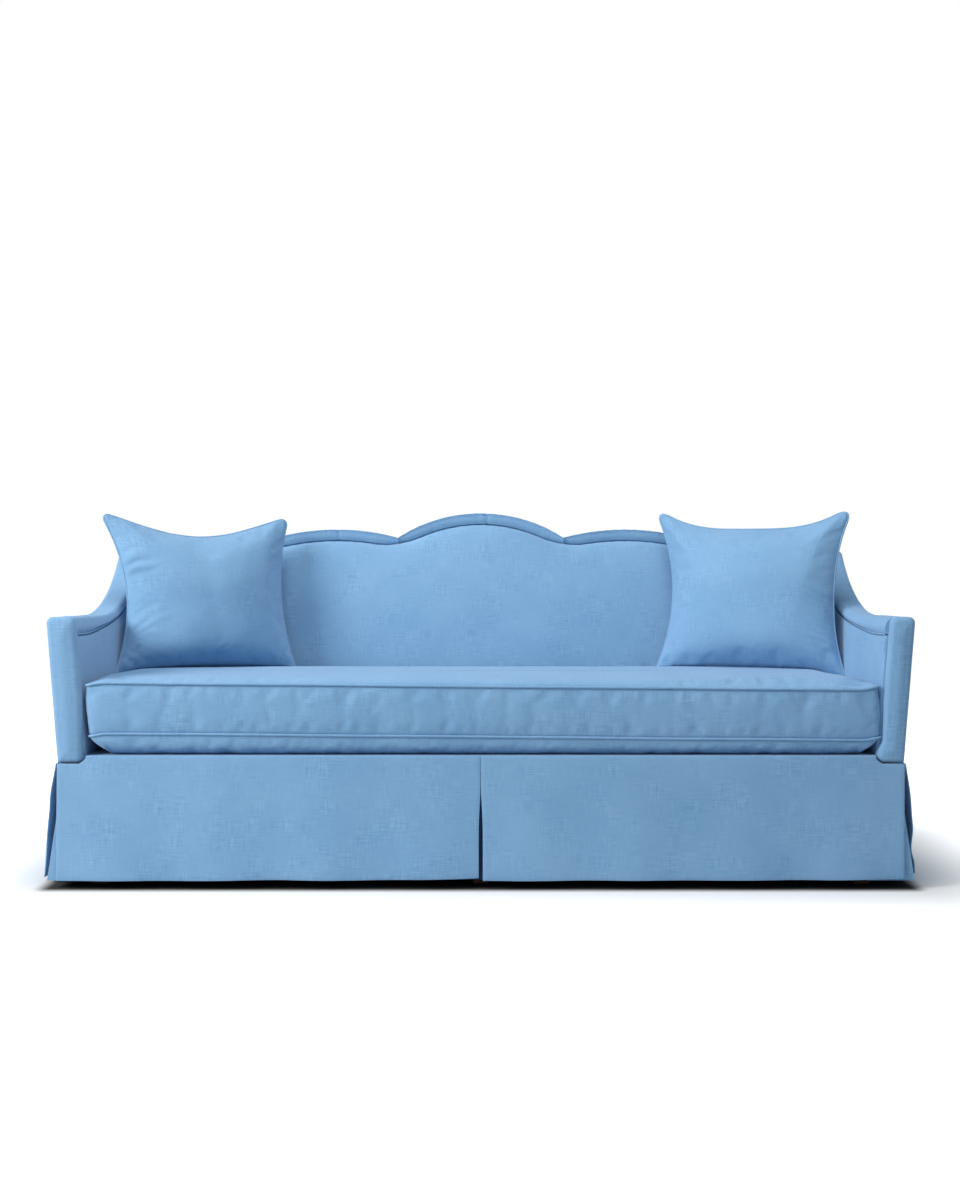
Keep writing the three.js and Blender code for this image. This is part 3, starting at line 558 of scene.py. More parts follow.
@dataclass(frozen=True)
class NodeMaker:
    """A short way to add and link the nodes of one material."""

    tree: bpy.types.NodeTree

    def add(self, kind: str, **values: object) -> bpy.types.Node:
        """A new node, with inputs and settings given by name."""
        node = self.tree.nodes.new(kind)
        for key, value in values.items():
            socket = next((s for s in node.inputs if s.name.replace(" ", "_") == key), None)
            if socket is None:
                setattr(node, key, value)
            else:
                socket.default_value = value
        return node

    def link(self, source: bpy.types.NodeSocket, target: bpy.types.NodeSocket) -> None:
        """Joins two sockets."""
        self.tree.links.new(source, target)

    def math(self, operation: str, a: object, b: object) -> bpy.types.NodeSocket:
        """The result of a sum of two values or sockets."""
        node = self.tree.nodes.new("ShaderNodeMath")
        node.operation = operation
        for socket, value in zip(node.inputs, (a, b)):
            if isinstance(value, bpy.types.NodeSocket):
                self.link(value, socket)
            else:
                socket.default_value = value
        return node.outputs[0]

    def noise(self, place: bpy.types.NodeSocket, **values: float) -> bpy.types.NodeSocket:
        """Noise at a place, around 0.5."""
        texture = self.add("ShaderNodeTexNoise", **values)
        self.link(place, texture.inputs["Vector"])
        return texture.outputs["Fac"]

    def scaled(
        self, place: bpy.types.NodeSocket, scale: tuple[float, float, float]
    ) -> bpy.types.NodeSocket:
        """A place that is scaled in each direction."""
        space = self.add("ShaderNodeMapping", Scale=scale)
        self.link(place, space.inputs["Vector"])
        return space.outputs[0]

    def colour(
        self, shader: bpy.types.Node, tones: Sequence[Tone], share: bpy.types.NodeSocket, spread: float
    ) -> None:
        """Colours a shader from a dark to a light tone.

        Args:
            shader: The shader.
            tones: The dark and the light tone.
            share: The share that picks the tone, around 0.5.
            spread: How far the share runs from the dark to the light tone.
        """
        ramp = self.add("ShaderNodeValToRGB")
        for index, tone in enumerate(tones):
            element = ramp.color_ramp.elements[index]
            element.position = 0.5 + (index - 0.5) * spread
            element.color = linear(*tone)
        self.link(share, ramp.inputs["Fac"])
        self.link(ramp.outputs["Color"], shader.inputs["Base Color"])

    def relief(
        self, shader: bpy.types.Node, height: bpy.types.NodeSocket, strength: float, depth: float
    ) -> None:
        """Gives a shader a relief of a strength and a depth."""
        bump = self.add("ShaderNodeBump", Strength=strength, Distance=depth)
        self.link(height, bump.inputs["Height"])
        self.link(bump.outputs["Normal"], shader.inputs["Normal"])


def set_inputs(node: bpy.types.Node, **values: object) -> None:
    """Sets inputs of a node by name."""
    for key, value in values.items():
        node.inputs[key.replace("_", " ")].default_value = value


def start_material(name: str) -> tuple[bpy.types.Material, NodeMaker, bpy.types.Node]:
    """A new node material with its shader.

    Args:
        name: The material's name.

    Returns:
        The material, its node maker and its Principled shader.
    """
    material = bpy.data.materials.new(name)
    material.use_nodes = True
    shader = material.node_tree.nodes["Principled BSDF"]
    return material, NodeMaker(material.node_tree), shader


def linear(red: int, green: int, blue: int) -> tuple[float, float, float, float]:
    """A screen colour, 0 to 255 a channel, as linear light."""

    def channel(value: int) -> float:
        share = value / 255
        return share / 12.92 if share <= 0.04045 else ((share + 0.055) / 1.055) ** 2.4

    return (channel(red), channel(green), channel(blue), 1.0)


@dataclass(frozen=True)
class Linen:
    """Plain-weave linen with slubs, a soft bloom and a fine weave, which follow the cloth map."""

    name: str
    dark: Tone
    light: Tone
    thread: float = 0.9 * MM
    slub_long: float = 45 * MM
    slub_thick: float = 3.2 * MM
    slub_share: float = 0.36
    patch_from: float = 0.38
    patch_gain: float = 9.0
    patch_least: float = 0.4
    patch_scale: float = 11.0
    broad_share: float = 0.30
    broad_scale: float = 6.0
    roughness: float = 0.88
    shine: float = 0.25
    sheen: float = 0.4
    sheen_roughness: float = 0.45
    sheen_tint: Tone = (205, 225, 255)
    weave_strength: float = 0.6
    weave_depth: float = 0.16 * MM
    slub_relief: float = 3.0

    def material(self) -> bpy.types.Material:
        """Builds the linen."""
        material, make, shader = start_material(self.name)
        cloth = make.add("ShaderNodeUVMap", uv_map="cloth").outputs["UV"]
        place = make.add("ShaderNodeTexCoord").outputs["Object"]
        broad = make.noise(place, Scale=self.broad_scale, Detail=2.0, Roughness=0.5)
        scales = ((self.slub_long, self.slub_thick), (self.slub_thick, self.slub_long))
        weft, warp = (
            make.noise(make.scaled(cloth, (1 / across, 1 / up, 1.0)), Scale=1.0, Detail=3.0, Roughness=0.6)
            for across, up in scales
        )
        patches = make.noise(cloth, Scale=self.patch_scale, Detail=3.0, Roughness=0.6)
        shown = make.math("SUBTRACT", patches, self.patch_from)
        shown = make.math("MULTIPLY", shown, self.patch_gain)
        strength = make.math("MAXIMUM", shown, self.patch_least)
        uneven = make.math("SUBTRACT", make.math("MULTIPLY", make.math("ADD", weft, warp), 0.5), 0.5)
        threads = make.math("ADD", make.math("MULTIPLY", uneven, strength), 0.5)
        tone = make.math(
            "ADD",
            make.math("MULTIPLY", broad, self.broad_share),
            make.math("MULTIPLY", threads, 1 - self.broad_share),
        )
        make.colour(shader, (self.dark, self.light), tone, self.slub_share)
        set_inputs(
            shader,
            Roughness=self.roughness,
            Specular_IOR_Level=self.shine,
            Sheen_Weight=self.sheen,
            Sheen_Roughness=self.sheen_roughness,
            Sheen_Tint=linear(*self.sheen_tint),
        )
        make.relief(shader, self.weave(make, cloth, threads), self.weave_strength, self.weave_depth)
        return material

    def weave(
        self, make: NodeMaker, cloth: bpy.types.NodeSocket, threads: bpy.types.NodeSocket
    ) -> bpy.types.NodeSocket:
        """The height of the crossing threads.

        Args:
            make: The material's node maker.
            cloth: The place on the cloth.
            threads: The uneven thickness of the threads.

        Returns:
            The height.
        """
        waves = []
        for direction in ("X", "Y"):
            wave = make.add(
                "ShaderNodeTexWave",
                Scale=math.pi / 10 / self.thread,
                Distortion=0.8,
                Detail=1.0,
                bands_direction=direction,
            )
            make.link(cloth, wave.inputs["Vector"])
            waves.append(wave.outputs["Fac"])
        return make.math("ADD", make.math("ADD", *waves), make.math("MULTIPLY", threads, self.slub_relief))


@dataclass(frozen=True)
class Timber:
    """Wood with straight grain along one axis."""

    name: str
    dark: Tone
    light: Tone
    roughness: float = 0.6
    coat: float = 0.0
    along: tuple[float, float, float] = (2.0, 26.0, 26.0)
    spread: float = 0.28
    depth: float = 0.3 * MM

    def material(self) -> bpy.types.Material:
        """Builds the wood."""
        material, make, shader = start_material(self.name)
        place = make.add("ShaderNodeTexCoord").outputs["Object"]
        space = make.scaled(place, self.along)
        grain = make.noise(space, Scale=3.0, Detail=7.0, Roughness=0.62, Distortion=0.6)
        make.colour(shader, (self.dark, self.light), grain, self.spread)
        set_inputs(shader, Roughness=self.roughness, Coat_Weight=self.coat)
        make.relief(shader, grain, 0.3, self.depth)
        return material


@dataclass(frozen=True)
class Mottled:
    """A finish with a fine or coarse mottle, such as foam, lining, tape or wire."""

    name: str
    dark: Tone
    light: Tone
    grain: float
    depth: float
    roughness: float = 0.9
    metallic: float = 0.0
    spread: float = 0.3
    rough_share: float = 0.08

    def material(self) -> bpy.types.Material:
        """Builds the finish."""
        material, make, shader = start_material(self.name)
        place = make.add("ShaderNodeTexCoord").outputs["Object"]
        mottle = make.noise(place, Scale=1 / self.grain, Detail=4.0, Roughness=0.6)
        make.colour(shader, (self.dark, self.light), mottle, self.spread)
        rough = make.add("ShaderNodeMapRange")
        make.link(mottle, rough.inputs["Value"])
        least, most = self.roughness - self.rough_share, self.roughness + self.rough_share
        set_inputs(rough, To_Min=least, To_Max=min(1.0, most))
        make.link(rough.outputs["Result"], shader.inputs["Roughness"])
        set_inputs(shader, Metallic=self.metallic)
        make.relief(shader, mottle, 0.5, self.depth)
        return material


class Finish(Enum):
    """The sofa's finishes."""

    LINEN = Linen("blue_linen", (106, 149, 188), (131, 171, 206))
    # Painted shade: the pleat underlay is the same linen, coloured dark navy to stand in for the shade deep
    # in the pleat's slit.
    PLEAT_LINEN = Linen("blue_linen_pleat", (26, 48, 86), (38, 66, 108))
    TIMBER = Timber("frame_timber", (164, 122, 80), (206, 170, 124))
    UPRIGHT_TIMBER = Timber("frame_timber_upright", (164, 122, 80), (206, 170, 124), along=(26.0, 26.0, 2.0))
    FOOT = Timber("foot_wood", (34, 20, 14), (66, 42, 30), 0.38, 0.25, (40.0, 40.0, 5.0))
    LINING = Mottled("black_lining", (22, 22, 24), (44, 44, 47), 0.8 * MM, 0.15 * MM)
    FOAM = Mottled("foam", (214, 204, 178), (236, 229, 206), 1.6 * MM, 0.4 * MM)
    FEATHER = Mottled("feather_insert", (224, 221, 212), (240, 238, 232), 2.4 * MM, 0.3 * MM)
    SPRING = Mottled("spring_steel", (96, 98, 102), (150, 152, 156), 6 * MM, 0.05 * MM, 0.42, 0.9)
    ZIP = Mottled("zip_tape", (62, 96, 136), (82, 120, 160), 1.1 * MM, 0.3 * MM, 0.7)
    SLIDER = Mottled("zip_metal", (150, 150, 152), (196, 196, 198), 3 * MM, 0.03 * MM, 0.3, 1.0)

    @property
    def slot(self) -> str:
        """The record's material slot: the look's own name, without what tells two looks of it apart."""
        return self.value.name.removesuffix("_pleat").removesuffix("_upright")


@cache
def material_of(finish: Finish) -> bpy.types.Material:
    """The one material of a finish."""
    return finish.value.material()


def dress(
    obj: bpy.types.Object,
    finish: Finish,
    body: str = "root",
    replaces: Iterable[str] = (),
    angle: float = 50,
) -> bpy.types.Object:
    """Gives a new piece its finish and its body, and hides the CAD nodes that it stands for.

    Args:
        obj: The piece.
        finish: Its finish.
        body: The body that it rides on.
        replaces: The CAD nodes that it stands for.
        angle: The angle in degrees past which an edge stays crisp.

    Returns:
        The same piece.
    """
    obj.data.materials.clear()
    obj.data.materials.append(material_of(finish))
    shade(obj, angle)
    if isinstance(finish.value, Linen) and not obj.data.uv_layers.get("cloth"):
        lay_cloth(obj)
    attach(obj, body)
    finish.slot
    nodes = tuple(replaces)
    if nodes:
        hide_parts(*nodes)
    LOG.info("%s: %d faces, on %s", obj.name, len(obj.data.polygons), body)
    return obj


# The sofa's sub-assemblies

@dataclass
class Arm:
    """One arm: its facing, top pad, inside pad, outside panel and welts."""

    side: Side
    plan: SofaPlan = PLAN
    pad: float = 18 * MM
    panel_from: float = 56.6 * MM
    facing_round: tuple[float, float] = (17 * MM, 13 * MM)
    facing_corner: float = 15 * MM
    outer_round: float = 16 * MM
    foot_round: float = 15 * MM
    facing_puff: float = 2.5 * MM
    crown: float = 6 * MM
    roll_share: float = 0.8
    roll_most: float = 27 * MM
    roll_under: float = math.radians(28)
    roll_puff: float = 3.0 * MM
    tuck_in: float = 9 * MM
    tuck_gap: float = 3.7 * MM
    welt: float = 2.0 * MM
    welt_in: float = 0.6 * MM
    left_edge: tuple[tuple[float, float], ...] = ((0.0, 4 * MM), (0.33, 4 * MM), (0.49, -5 * MM))
    right_edge: tuple[tuple[float, float], ...] = ((0.0, 0.0), (0.33, 0.0), (0.37, 10 * MM), (0.49, 6 * MM))
    seam_least: float = 21 * MM
    seam_rise_from: float = 110 * MM
    seam_rise_run: float = 290 * MM
    seam_fall_run: float = 220 * MM
    columns: int = 72
    top_rows: int = 50
    inside_rows: int = 24
    panel_rows: int = 20
    facing_around: int = 160
    facing_steps: int = 6
    facing_rear_round: float = 1.5 * MM
    facing_rear_shares: tuple[float, ...] = (1.0, 0.5, 0.04)
    outer_foot_round: float = 2 * MM
    section_stops: tuple[float, ...] = (0.06, 0.08, 0.6, 0.7, 0.88)
    inside_reach: float = 0.75
    inside_powers: tuple[float, float] = (0.5, 0.6)
    inside_round: float = 4 * MM
    outside_round: float = 2.5 * MM
    side_facing: float = 0.7
    facing_waver: Waver = Waver(0.6 * MM, 70 * MM, 5.0)
    top_waver: Waver = Waver(0.9 * MM, 90 * MM, 3.0)
    inside_waver: Waver = Waver(0.8 * MM, 120 * MM, 7.0)
    outside_waver: Waver = Waver(0.5 * MM, 160 * MM, 11.0)
    welt_start: float = 4 * MM
    welt_turns: tuple[tuple[float, float], ...] = (
        (46 * MM, 0.0), (22 * MM, 0.0), (8 * MM, 1 * MM), (2 * MM, 5 * MM)
    )
    welt_run_from: float = 8 * MM
    welt_past_back: float = 80 * MM
    welt_steps: int = 60

    def depth_at(self, share: float) -> float:
        """Depth of a station of the top line, spaced evenly from the facing to the rear."""
        start = self.plan.facing_thickness + self.plan.gap
        return mix(start, self.plan.rear_at(self.plan.shoulder), share)

    def layer_point(self, across: float, along: float, up: float, drop: float) -> Vector:
        """A point of an upright layer.

        Args:
            across: Distance outwards from the arm's inner face.
            along: Share of the way from the facing to the rear.
            up: Share of the way from the frame to the layer's top.
            drop: How far the layer's top lies below the top line.

        Returns:
            The point in the sofa's frame.
        """
        plan = self.plan
        top = plan.arm_point(self.side, across, self.depth_at(along), drop)
        start = plan.facing_thickness + plan.gap
        low_depth = mix(start, plan.rear_at(plan.frame_bottom), along)
        z = mix(plan.frame_bottom, top.z, up)
        depth = mix(low_depth, top.y - plan.front, up)
        return plan.at_depth(self.side.sign * (plan.arm_inner_at(z) + across), depth, z)

    def seam_drop(self, depth: float) -> float:
        """How far the inside seam lies below the top line: it cuts the corner where the line sweeps up."""
        rising = smooth((depth - self.seam_rise_from) / self.seam_rise_run)
        falling = smooth((depth - self.plan.sweep_end + self.seam_fall_run) / self.seam_fall_run)
        drop = mix(self.plan.top_pad_deep, self.seam_least, rising)
        return mix(drop, self.plan.band, falling)

    def inner_shift(self, z: float) -> float:
        """How far the facing's inner edge lies outside the arm's inner face at a height."""
        return between(self.right_edge if self.side.sign > 0 else self.left_edge, z)

    def build_facing(self) -> None:
        """The upright pad on the arm's front, with rounded edges and a slight puff."""
        plan, sign = self.plan, self.side.sign
        wide, thick = plan.arm_thickness, plan.facing_thickness
        reach, edge = self.facing_round
        outline = RoundedOutline(
            (0.0, plan.arm_bottom),
            (wide, plan.arm_height),
            (self.foot_round, self.outer_foot_round, self.outer_round, self.facing_corner),
        )
        rim = reach / (wide / 2)
        steps = self.facing_steps
        rings = [(share, thick) for share in self.facing_rear_shares]
        rings += [(0.0, thick - self.facing_rear_round), (0.0, mix(edge, thick, 0.5))]
        for step in range(steps + 1):
            angle = math.pi / 2 * step / steps
            rings.append((rim * (1 - math.cos(angle)), edge * (1 - math.sin(angle))))
        for step in range(1, steps + 1):
            share = step / steps
            rings.append((mix(rim, 1.0, share), -self.facing_puff * math.sin(math.pi / 2 * share)))
        obj = add_shell(f"{self.side.word}_arm_facing_pad", self.facing_around, rings, outline)
        for vertex in obj.data.vertices:
            x, z, depth = vertex.co
            wave = self.facing_waver.at(Vector((x, z, sign))) if depth < edge else 0.0
            slim = self.inner_shift(z) * (1 - clamp(x / wide))
            vertex.co = plan.at_depth(sign * (plan.arm_inner_at(z) + x + slim), depth + wave, z)
        turn_outwards(obj)
        dress(obj, Finish.LINEN, replaces=[f"{self.side.word}_arm_facing"], angle=60)

    def roll_at(self, depth: float, share: float) -> tuple[float, float]:
        """The top pad's section: up from the inside seam, over the rolled top and down the outer side.

        Args:
            depth: Depth of the station.
            share: Share of the way along the section.

        Returns:
            The distance outwards from the arm's inner face, and the drop below the top line.
        """
        seam, wide, outer = self.seam_drop(depth), self.plan.arm_thickness, self.outer_round
        tuck_end, roll_start, roll_end, flat_end, outer_end = self.section_stops
        roll = min(self.roll_share * seam, self.roll_most)
        if share <= tuck_end:
            low = mix(seam + self.tuck_gap, self.plan.top_pad_deep, self.tuck_in / self.pad) - self.plan.gap
            return self.tuck_in, mix(low, seam - self.tuck_gap, share / tuck_end)
        if share <= roll_end:
            angle = mix(-self.roll_under, math.pi / 2, (share - roll_start) / (roll_end - roll_start))
            across = roll * (1 - math.cos(angle)) - self.roll_puff
            if angle < 0:
                low = seam - self.tuck_gap - roll
                return across, roll - low * math.sin(angle) / math.sin(self.roll_under)
            return across, roll * (1 - math.sin(angle))
        if share <= flat_end:
            return mix(roll - self.roll_puff, wide - outer, (share - roll_end) / (flat_end - roll_end)), 0.0
        if share <= outer_end:
            angle = math.pi / 2 * (share - flat_end) / (outer_end - flat_end)
            return wide - outer * (1 - math.sin(angle)), outer * (1 - math.cos(angle))
        return wide, mix(outer, self.plan.top_pad_deep, (share - outer_end) / (1 - outer_end))

    def build_top_pad(self) -> None:
        """The rolled pad along the arm's top, which sweeps up to the back."""
        plan, sign = self.plan, self.side.sign

        def skin(u: float, v: float) -> Vector:
            depth = self.depth_at(u)
            across, drop = self.roll_at(depth, v)
            return plan.arm_point(self.side, across, depth, drop)

        def base(u: float, v: float) -> Vector:
            return skin(u, 0.0).lerp(skin(u, 1.0), v)

        obj = add_pad(f"{self.side.word}_arm_top", self.columns, self.top_rows, skin, base)
        ripple(obj, lambda point, normal: self.top_waver.at(point, sign))
        dress(obj, Finish.LINEN, replaces=[f"{self.side.word}_arm_top_pad"], angle=60)

    def build_inside_pad(self) -> None:
        """The pad on the arm's inner side."""
        sign, reach = self.side.sign, self.inside_reach
        low_drop = self.plan.top_pad_deep + self.plan.gap
        along_power, up_power = self.inside_powers

        def near(u: float, v: float) -> Vector:
            along = math.sin(math.pi * min(u / reach, 1)) ** along_power
            swell = self.crown * math.sin(math.pi * v) ** up_power * along
            drop = self.seam_drop(self.depth_at(u)) + self.tuck_gap
            return self.layer_point(-swell if u < reach else 0.0, u, v, drop)

        def far(u: float, v: float) -> Vector:
            return self.layer_point(self.pad, u, v, low_drop)

        def wave(point: Vector, normal: Vector) -> float:
            return self.inside_waver.at(point, sign) if abs(normal.x) > self.side_facing else 0.0

        obj = add_pad(f"{self.side.word}_inside_arm", self.columns, self.inside_rows, near, far)
        soft_edges(obj, self.inside_round)
        ripple(obj, wave)
        dress(obj, Finish.LINEN, replaces=[f"{self.side.word}_inside_arm_pad"], angle=40)

    def build_outside_panel(self) -> None:
        """The panel on the arm's outer side."""
        drop = self.plan.top_pad_deep + self.plan.gap

        def at(u: float, v: float, across: float) -> Vector:
            return self.layer_point(across, u, v, drop)

        layers = (self.panel_from, self.plan.arm_thickness)
        obj = add_slab(f"{self.side.word}_outside_arm", self.columns, self.panel_rows, at, layers)
        soft_edges(obj, self.outside_round)
        ripple(obj, lambda p, n: self.outside_waver.at(p) if abs(n.x) > self.side_facing else 0.0)
        dress(obj, Finish.LINEN, replaces=[f"{self.side.word}_outside_arm_panel"], angle=40)

    def build_welts(self) -> None:
        """The welt along the seam between the inside pad and the top pad."""
        plan = self.plan
        start = plan.facing_thickness + self.welt_start
        seam = self.seam_drop(start)
        side, inward = self.side, self.welt_in
        line = [plan.arm_point(side, inward, start + along, seam + down) for down, along in self.welt_turns]
        last = plan.back_face + self.welt_past_back
        for step in range(1, self.welt_steps + 1):
            depth = mix(start + self.welt_run_from, last, step / self.welt_steps)
            line.append(plan.arm_point(side, inward, depth, self.seam_drop(depth)))
        welt = add_piping(f"{self.side.word}_arm_welt", line, self.welt)
        dress(welt, Finish.LINEN)

    def build(self) -> None:
        """Builds and dresses the whole arm."""
        self.build_facing()
        self.build_top_pad()
        self.build_inside_pad()
        self.build_outside_panel()
        self.build_welts()


@dataclass
class Back:
    """The padded back with its seamed top border and outside panel."""

    plan: SofaPlan = PLAN
    crown: float = 39 * MM
    timber: float = 32 * MM
    panel: float = 4 * MM
    border_round: float = 11 * MM
    border_puff: float = 2.5 * MM
    border_sunk: float = 9 * MM
    border_lean: float = 13 * MM
    border_tuck: float = 10 * MM
    crease_places: tuple[float, ...] = (-433 * MM, 21 * MM)
    crease: float = 2.8 * MM
    cusp_welt: float = 2.9 * MM
    gather_pitch: float = 34 * MM
    gather_reach: float = 34 * MM
    gather: float = 0.9 * MM
    pad_end_power: float = 8
    pad_swell_power: float = 0.5
    pad_round: float = 4 * MM
    pad_columns: int = 200
    pad_rows: int = 44
    pad_facing: float = -0.2
    pad_waver: Waver = Waver(2.2 * MM, 230 * MM, 1.0)
    gather_wander: Waver = Waver(9 * MM, 70 * MM)
    gather_share: Waver = Waver(0.5, 90 * MM, 5.0)
    border_cell: float = 5 * MM
    border_rows: int = 16
    puff_reach: float = 1.3
    tuck_run: float = 0.12
    border_edge: float = 1.6 * MM
    top_room: float = 1.2 * MM
    middle_in: float = 45 * MM
    least_edge: float = 2 * MM
    border_pitch: float = 27 * MM
    border_gather: float = 0.55 * MM
    border_wander: Waver = Waver(12 * MM, 60 * MM, 4.0)
    border_share: Waver = Waver(0.5, 80 * MM, 9.0)
    border_waver: Waver = Waver(0.8 * MM, 70 * MM, 2.0)
    crease_wide: float = 4 * MM
    cusp_steps: int = 6
    cusp_puff: float = 2.5 * MM
    cusp_ends: tuple[float, float] = (1 * MM, 1.5 * MM)
    outside_round: float = 1.5 * MM
    outside_rows: int = 30
    outside_waver: Waver = Waver(0.7 * MM, 200 * MM, 6.0)

    def place_at(self, share: float) -> float:
        """Place across the top line for a share from the left arm to the right arm."""
        end = self.plan.back_half_at(self.plan.shoulder)
        return mix(-end, end, share)

    def build_pad(self) -> None:
        """The puffed inside back."""
        plan = self.plan
        bottom = plan.deck_top + 2 * plan.gap
        end = plan.back_half_at(plan.shoulder)
        rear = plan.back_depth - self.timber - plan.gap

        def height(place: float, v: float) -> float:
            return mix(bottom, plan.seam_at(place) - plan.gap, v)

        def near(u: float, v: float) -> Vector:
            place = self.place_at(u)
            across = 1 - abs(place / end) ** self.pad_end_power
            swell = self.crown * across * math.sin(math.pi * v) ** self.pad_swell_power
            return plan.back_point(place, height(place, v), plan.back_face - swell)

        def far(u: float, v: float) -> Vector:
            place = self.place_at(u)
            return plan.back_point(place, height(place, v), rear)

        obj = add_pad("inside_back", self.pad_columns, self.pad_rows, near, far)
        soft_edges(obj, self.pad_round)

        def fold(point: Vector, normal: Vector) -> float:
            if normal.y > self.pad_facing:
                return 0.0
            below = max(plan.seam_at(point.x) - point.z, 0)
            wander = point.x + self.gather_wander.at(point)
            fade = math.exp(-below / self.gather_reach)
            gathers = math.sin(2 * math.pi * wander / self.gather_pitch) * fade
            uneven = 0.5 + self.gather_share.at(Vector((point.x, 0, 0)))
            return self.gather * gathers * uneven + self.pad_waver.at(point)

        ripple(obj, fold)
        dress(obj, Finish.LINEN, replaces=["inside_back_pad"], angle=45)

    def build_border(self, name: str, start: float, end: float) -> None:
        """One piece of the top border.

        Args:
            name: The CAD node that it stands for.
            start: Place across the top line where it starts.
            end: Place across the top line where it ends.
        """
        plan = self.plan
        columns = round(abs(end - start) / self.border_cell)

        def point(u: float, v: float, depth: float) -> Vector:
            place = mix(start, end, u)
            return plan.back_point(place, mix(plan.seam_at(place), plan.crest_at(place), v), depth)

        def near(u: float, v: float) -> Vector:
            puff = self.border_puff * math.sin(math.pi * min(v * self.puff_reach, 1)) + self.border_lean * v
            tucked = self.border_tuck * (1 - smooth(v / self.tuck_run))
            return point(u, v, plan.back_face + self.border_sunk + tucked - puff)

        def far(u: float, v: float) -> Vector:
            return point(u, v, plan.back_depth)

        obj = add_pad(f"{name}_band", columns, self.border_rows, near, far)

        def front_top(a: Vector, b: Vector) -> bool:
            tops = all(abs(p.z - plan.crest_at(p.x)) < self.top_room for p in (a, b))
            middle = plan.front + plan.back_depth - self.middle_in
            front = all(p.y < middle + plan.rake * (p.z - plan.arm_bottom) for p in (a, b))
            return tops and front and abs(a.x - b.x) > self.least_edge

        bevel_edges(obj, front_top, self.border_round, 6)
        soft_edges(obj, self.border_edge, 2)

        def fold(point: Vector, normal: Vector) -> float:
            wander = point.x + self.border_wander.at(point)
            gathers = math.sin(2 * math.pi * wander / self.border_pitch) * (0.5 + self.border_share.at(point))
            away = [(point.x - place) / self.crease_wide for place in self.crease_places]
            creases = sum(math.exp(-(share**2)) for share in away)
            return self.border_gather * gathers + self.border_waver.at(point) - self.crease * creases

        ripple(obj, fold)
        dress(obj, Finish.LINEN, replaces=[name], angle=45)

    def build_borders(self) -> None:
        """The three pieces of the top border, seamed at the hump's cusps."""
        cusp, half_gap = self.plan.cusp_half, self.plan.gap / 2
        end = self.plan.back_half_at(self.plan.shoulder)
        self.build_border("back_border_centre", -cusp + half_gap, cusp - half_gap)
        self.build_border("back_border_left", -end, -cusp - half_gap)
        self.build_border("back_border_right", cusp + half_gap, end)
        for side in Side:
            self.build_cusp_welt(side)

    def build_cusp_welt(self, side: Side) -> None:
        """The short welt between two pieces of the border."""
        plan = self.plan
        place = side.sign * plan.cusp_half
        low, high = plan.seam_at(place) + self.cusp_ends[0], plan.crest_at(place) - self.cusp_ends[1]
        line = []
        for step in range(self.cusp_steps + 1):
            share = step / self.cusp_steps
            puff = self.border_lean * share + self.cusp_puff * math.sin(math.pi * share)
            depth = plan.back_face + self.border_sunk - puff
            line.append(plan.back_point(place, mix(low, high, share), depth))
        welt = add_piping(f"{side.word}_cusp_welt", line, self.cusp_welt)
        dress(welt, Finish.LINEN)

    def build_outside(self) -> None:
        """The stretched panel on the rear, across the back and both arms."""
        plan = self.plan
        corner = plan.arm_inner_at(plan.shoulder) + plan.arm_thickness

        def at(u: float, v: float, extra: float) -> Vector:
            place = mix(-corner, corner, u)
            top = plan.crest_at(place)
            z = mix(plan.frame_bottom, top, v)
            outer = plan.arm_inner_at(z) + plan.arm_thickness
            x = place * outer / (plan.arm_inner_at(top) + plan.arm_thickness)
            return plan.at_depth(x, plan.rear_at(z) + plan.gap + extra, z)

        obj = add_slab("outside_back", self.pad_columns, self.outside_rows, at, (0.0, self.panel))
        soft_edges(obj, self.outside_round)
        ripple(obj, lambda p, n: max(0.0, self.outside_waver.at(p)) if n.y > 0.5 else 0.0)
        dress(obj, Finish.LINEN, replaces=["outside_back_panel"], angle=45)

    def build(self) -> None:
        """Builds and dresses the whole back."""
        self.build_pad()
        self.build_borders()
        self.build_outside()


@dataclass
class Deck:
    """The deck under the loose cushion, with its padded front edge."""

    plan: SofaPlan = PLAN
    roll_depth: float = 40 * MM
    roll_round: float = 14 * MM
    back_tuck: float = 10 * MM
    side_room: float = 5 * MM
    cover: float = 1.2 * MM
    roll_columns: int = 90
    columns: int = 60
    rows: int = 4

    def bar(
        self, name: str, front: float, rear: float, columns: int, top: float, bottom: float | None = None
    ) -> bpy.types.Object:
        """A bar across the seat.

        Args:
            name: The piece's name.
            front: Depth of its front.
            rear: Depth of its rear.
            columns: Cells across.
            top: Height of its top.
            bottom: Height of its bottom, or the frame's top.

        Returns:
            The new object.
        """
        plan = self.plan
        low = plan.frame_bottom if bottom is None else bottom

        def at(u: float, v: float, depth: float) -> Vector:
            z = mix(low, top, v)
            half = plan.arm_inner_at(z) - plan.gap - self.side_room
            return plan.at_depth(mix(-half, half, u), depth, z)

        return add_slab(name, columns, self.rows, at, (front, rear))

    def build(self) -> None:
        """Builds and dresses the edge roll and the deck pad."""
        plan = self.plan
        roll = self.bar("front_edge", 0.0, self.roll_depth, self.roll_columns, plan.deck_top)

        def front_top(a: Vector, b: Vector) -> bool:
            return all(p.z > plan.deck_top - MM and p.y < plan.front + MM for p in (a, b))

        bevel_edges(roll, front_top, self.roll_round, 6)
        dress(roll, Finish.LINEN, replaces=["front_edge_roll"], angle=40)
        front, rear = self.roll_depth + plan.gap, plan.back_face + self.back_tuck
        deck = self.bar("deck", front, rear, self.columns, plan.deck_top - self.cover)
        dress(deck, Finish.FOAM, replaces=["deck_pad"], angle=40)
        low = plan.deck_top - self.cover
        cover = self.bar("deck_cover", front, rear, self.columns, plan.deck_top, low)
        dress(cover, Finish.LINEN)
        half = plan.arm_inner_at(plan.deck_top) - plan.gap - self.side_room


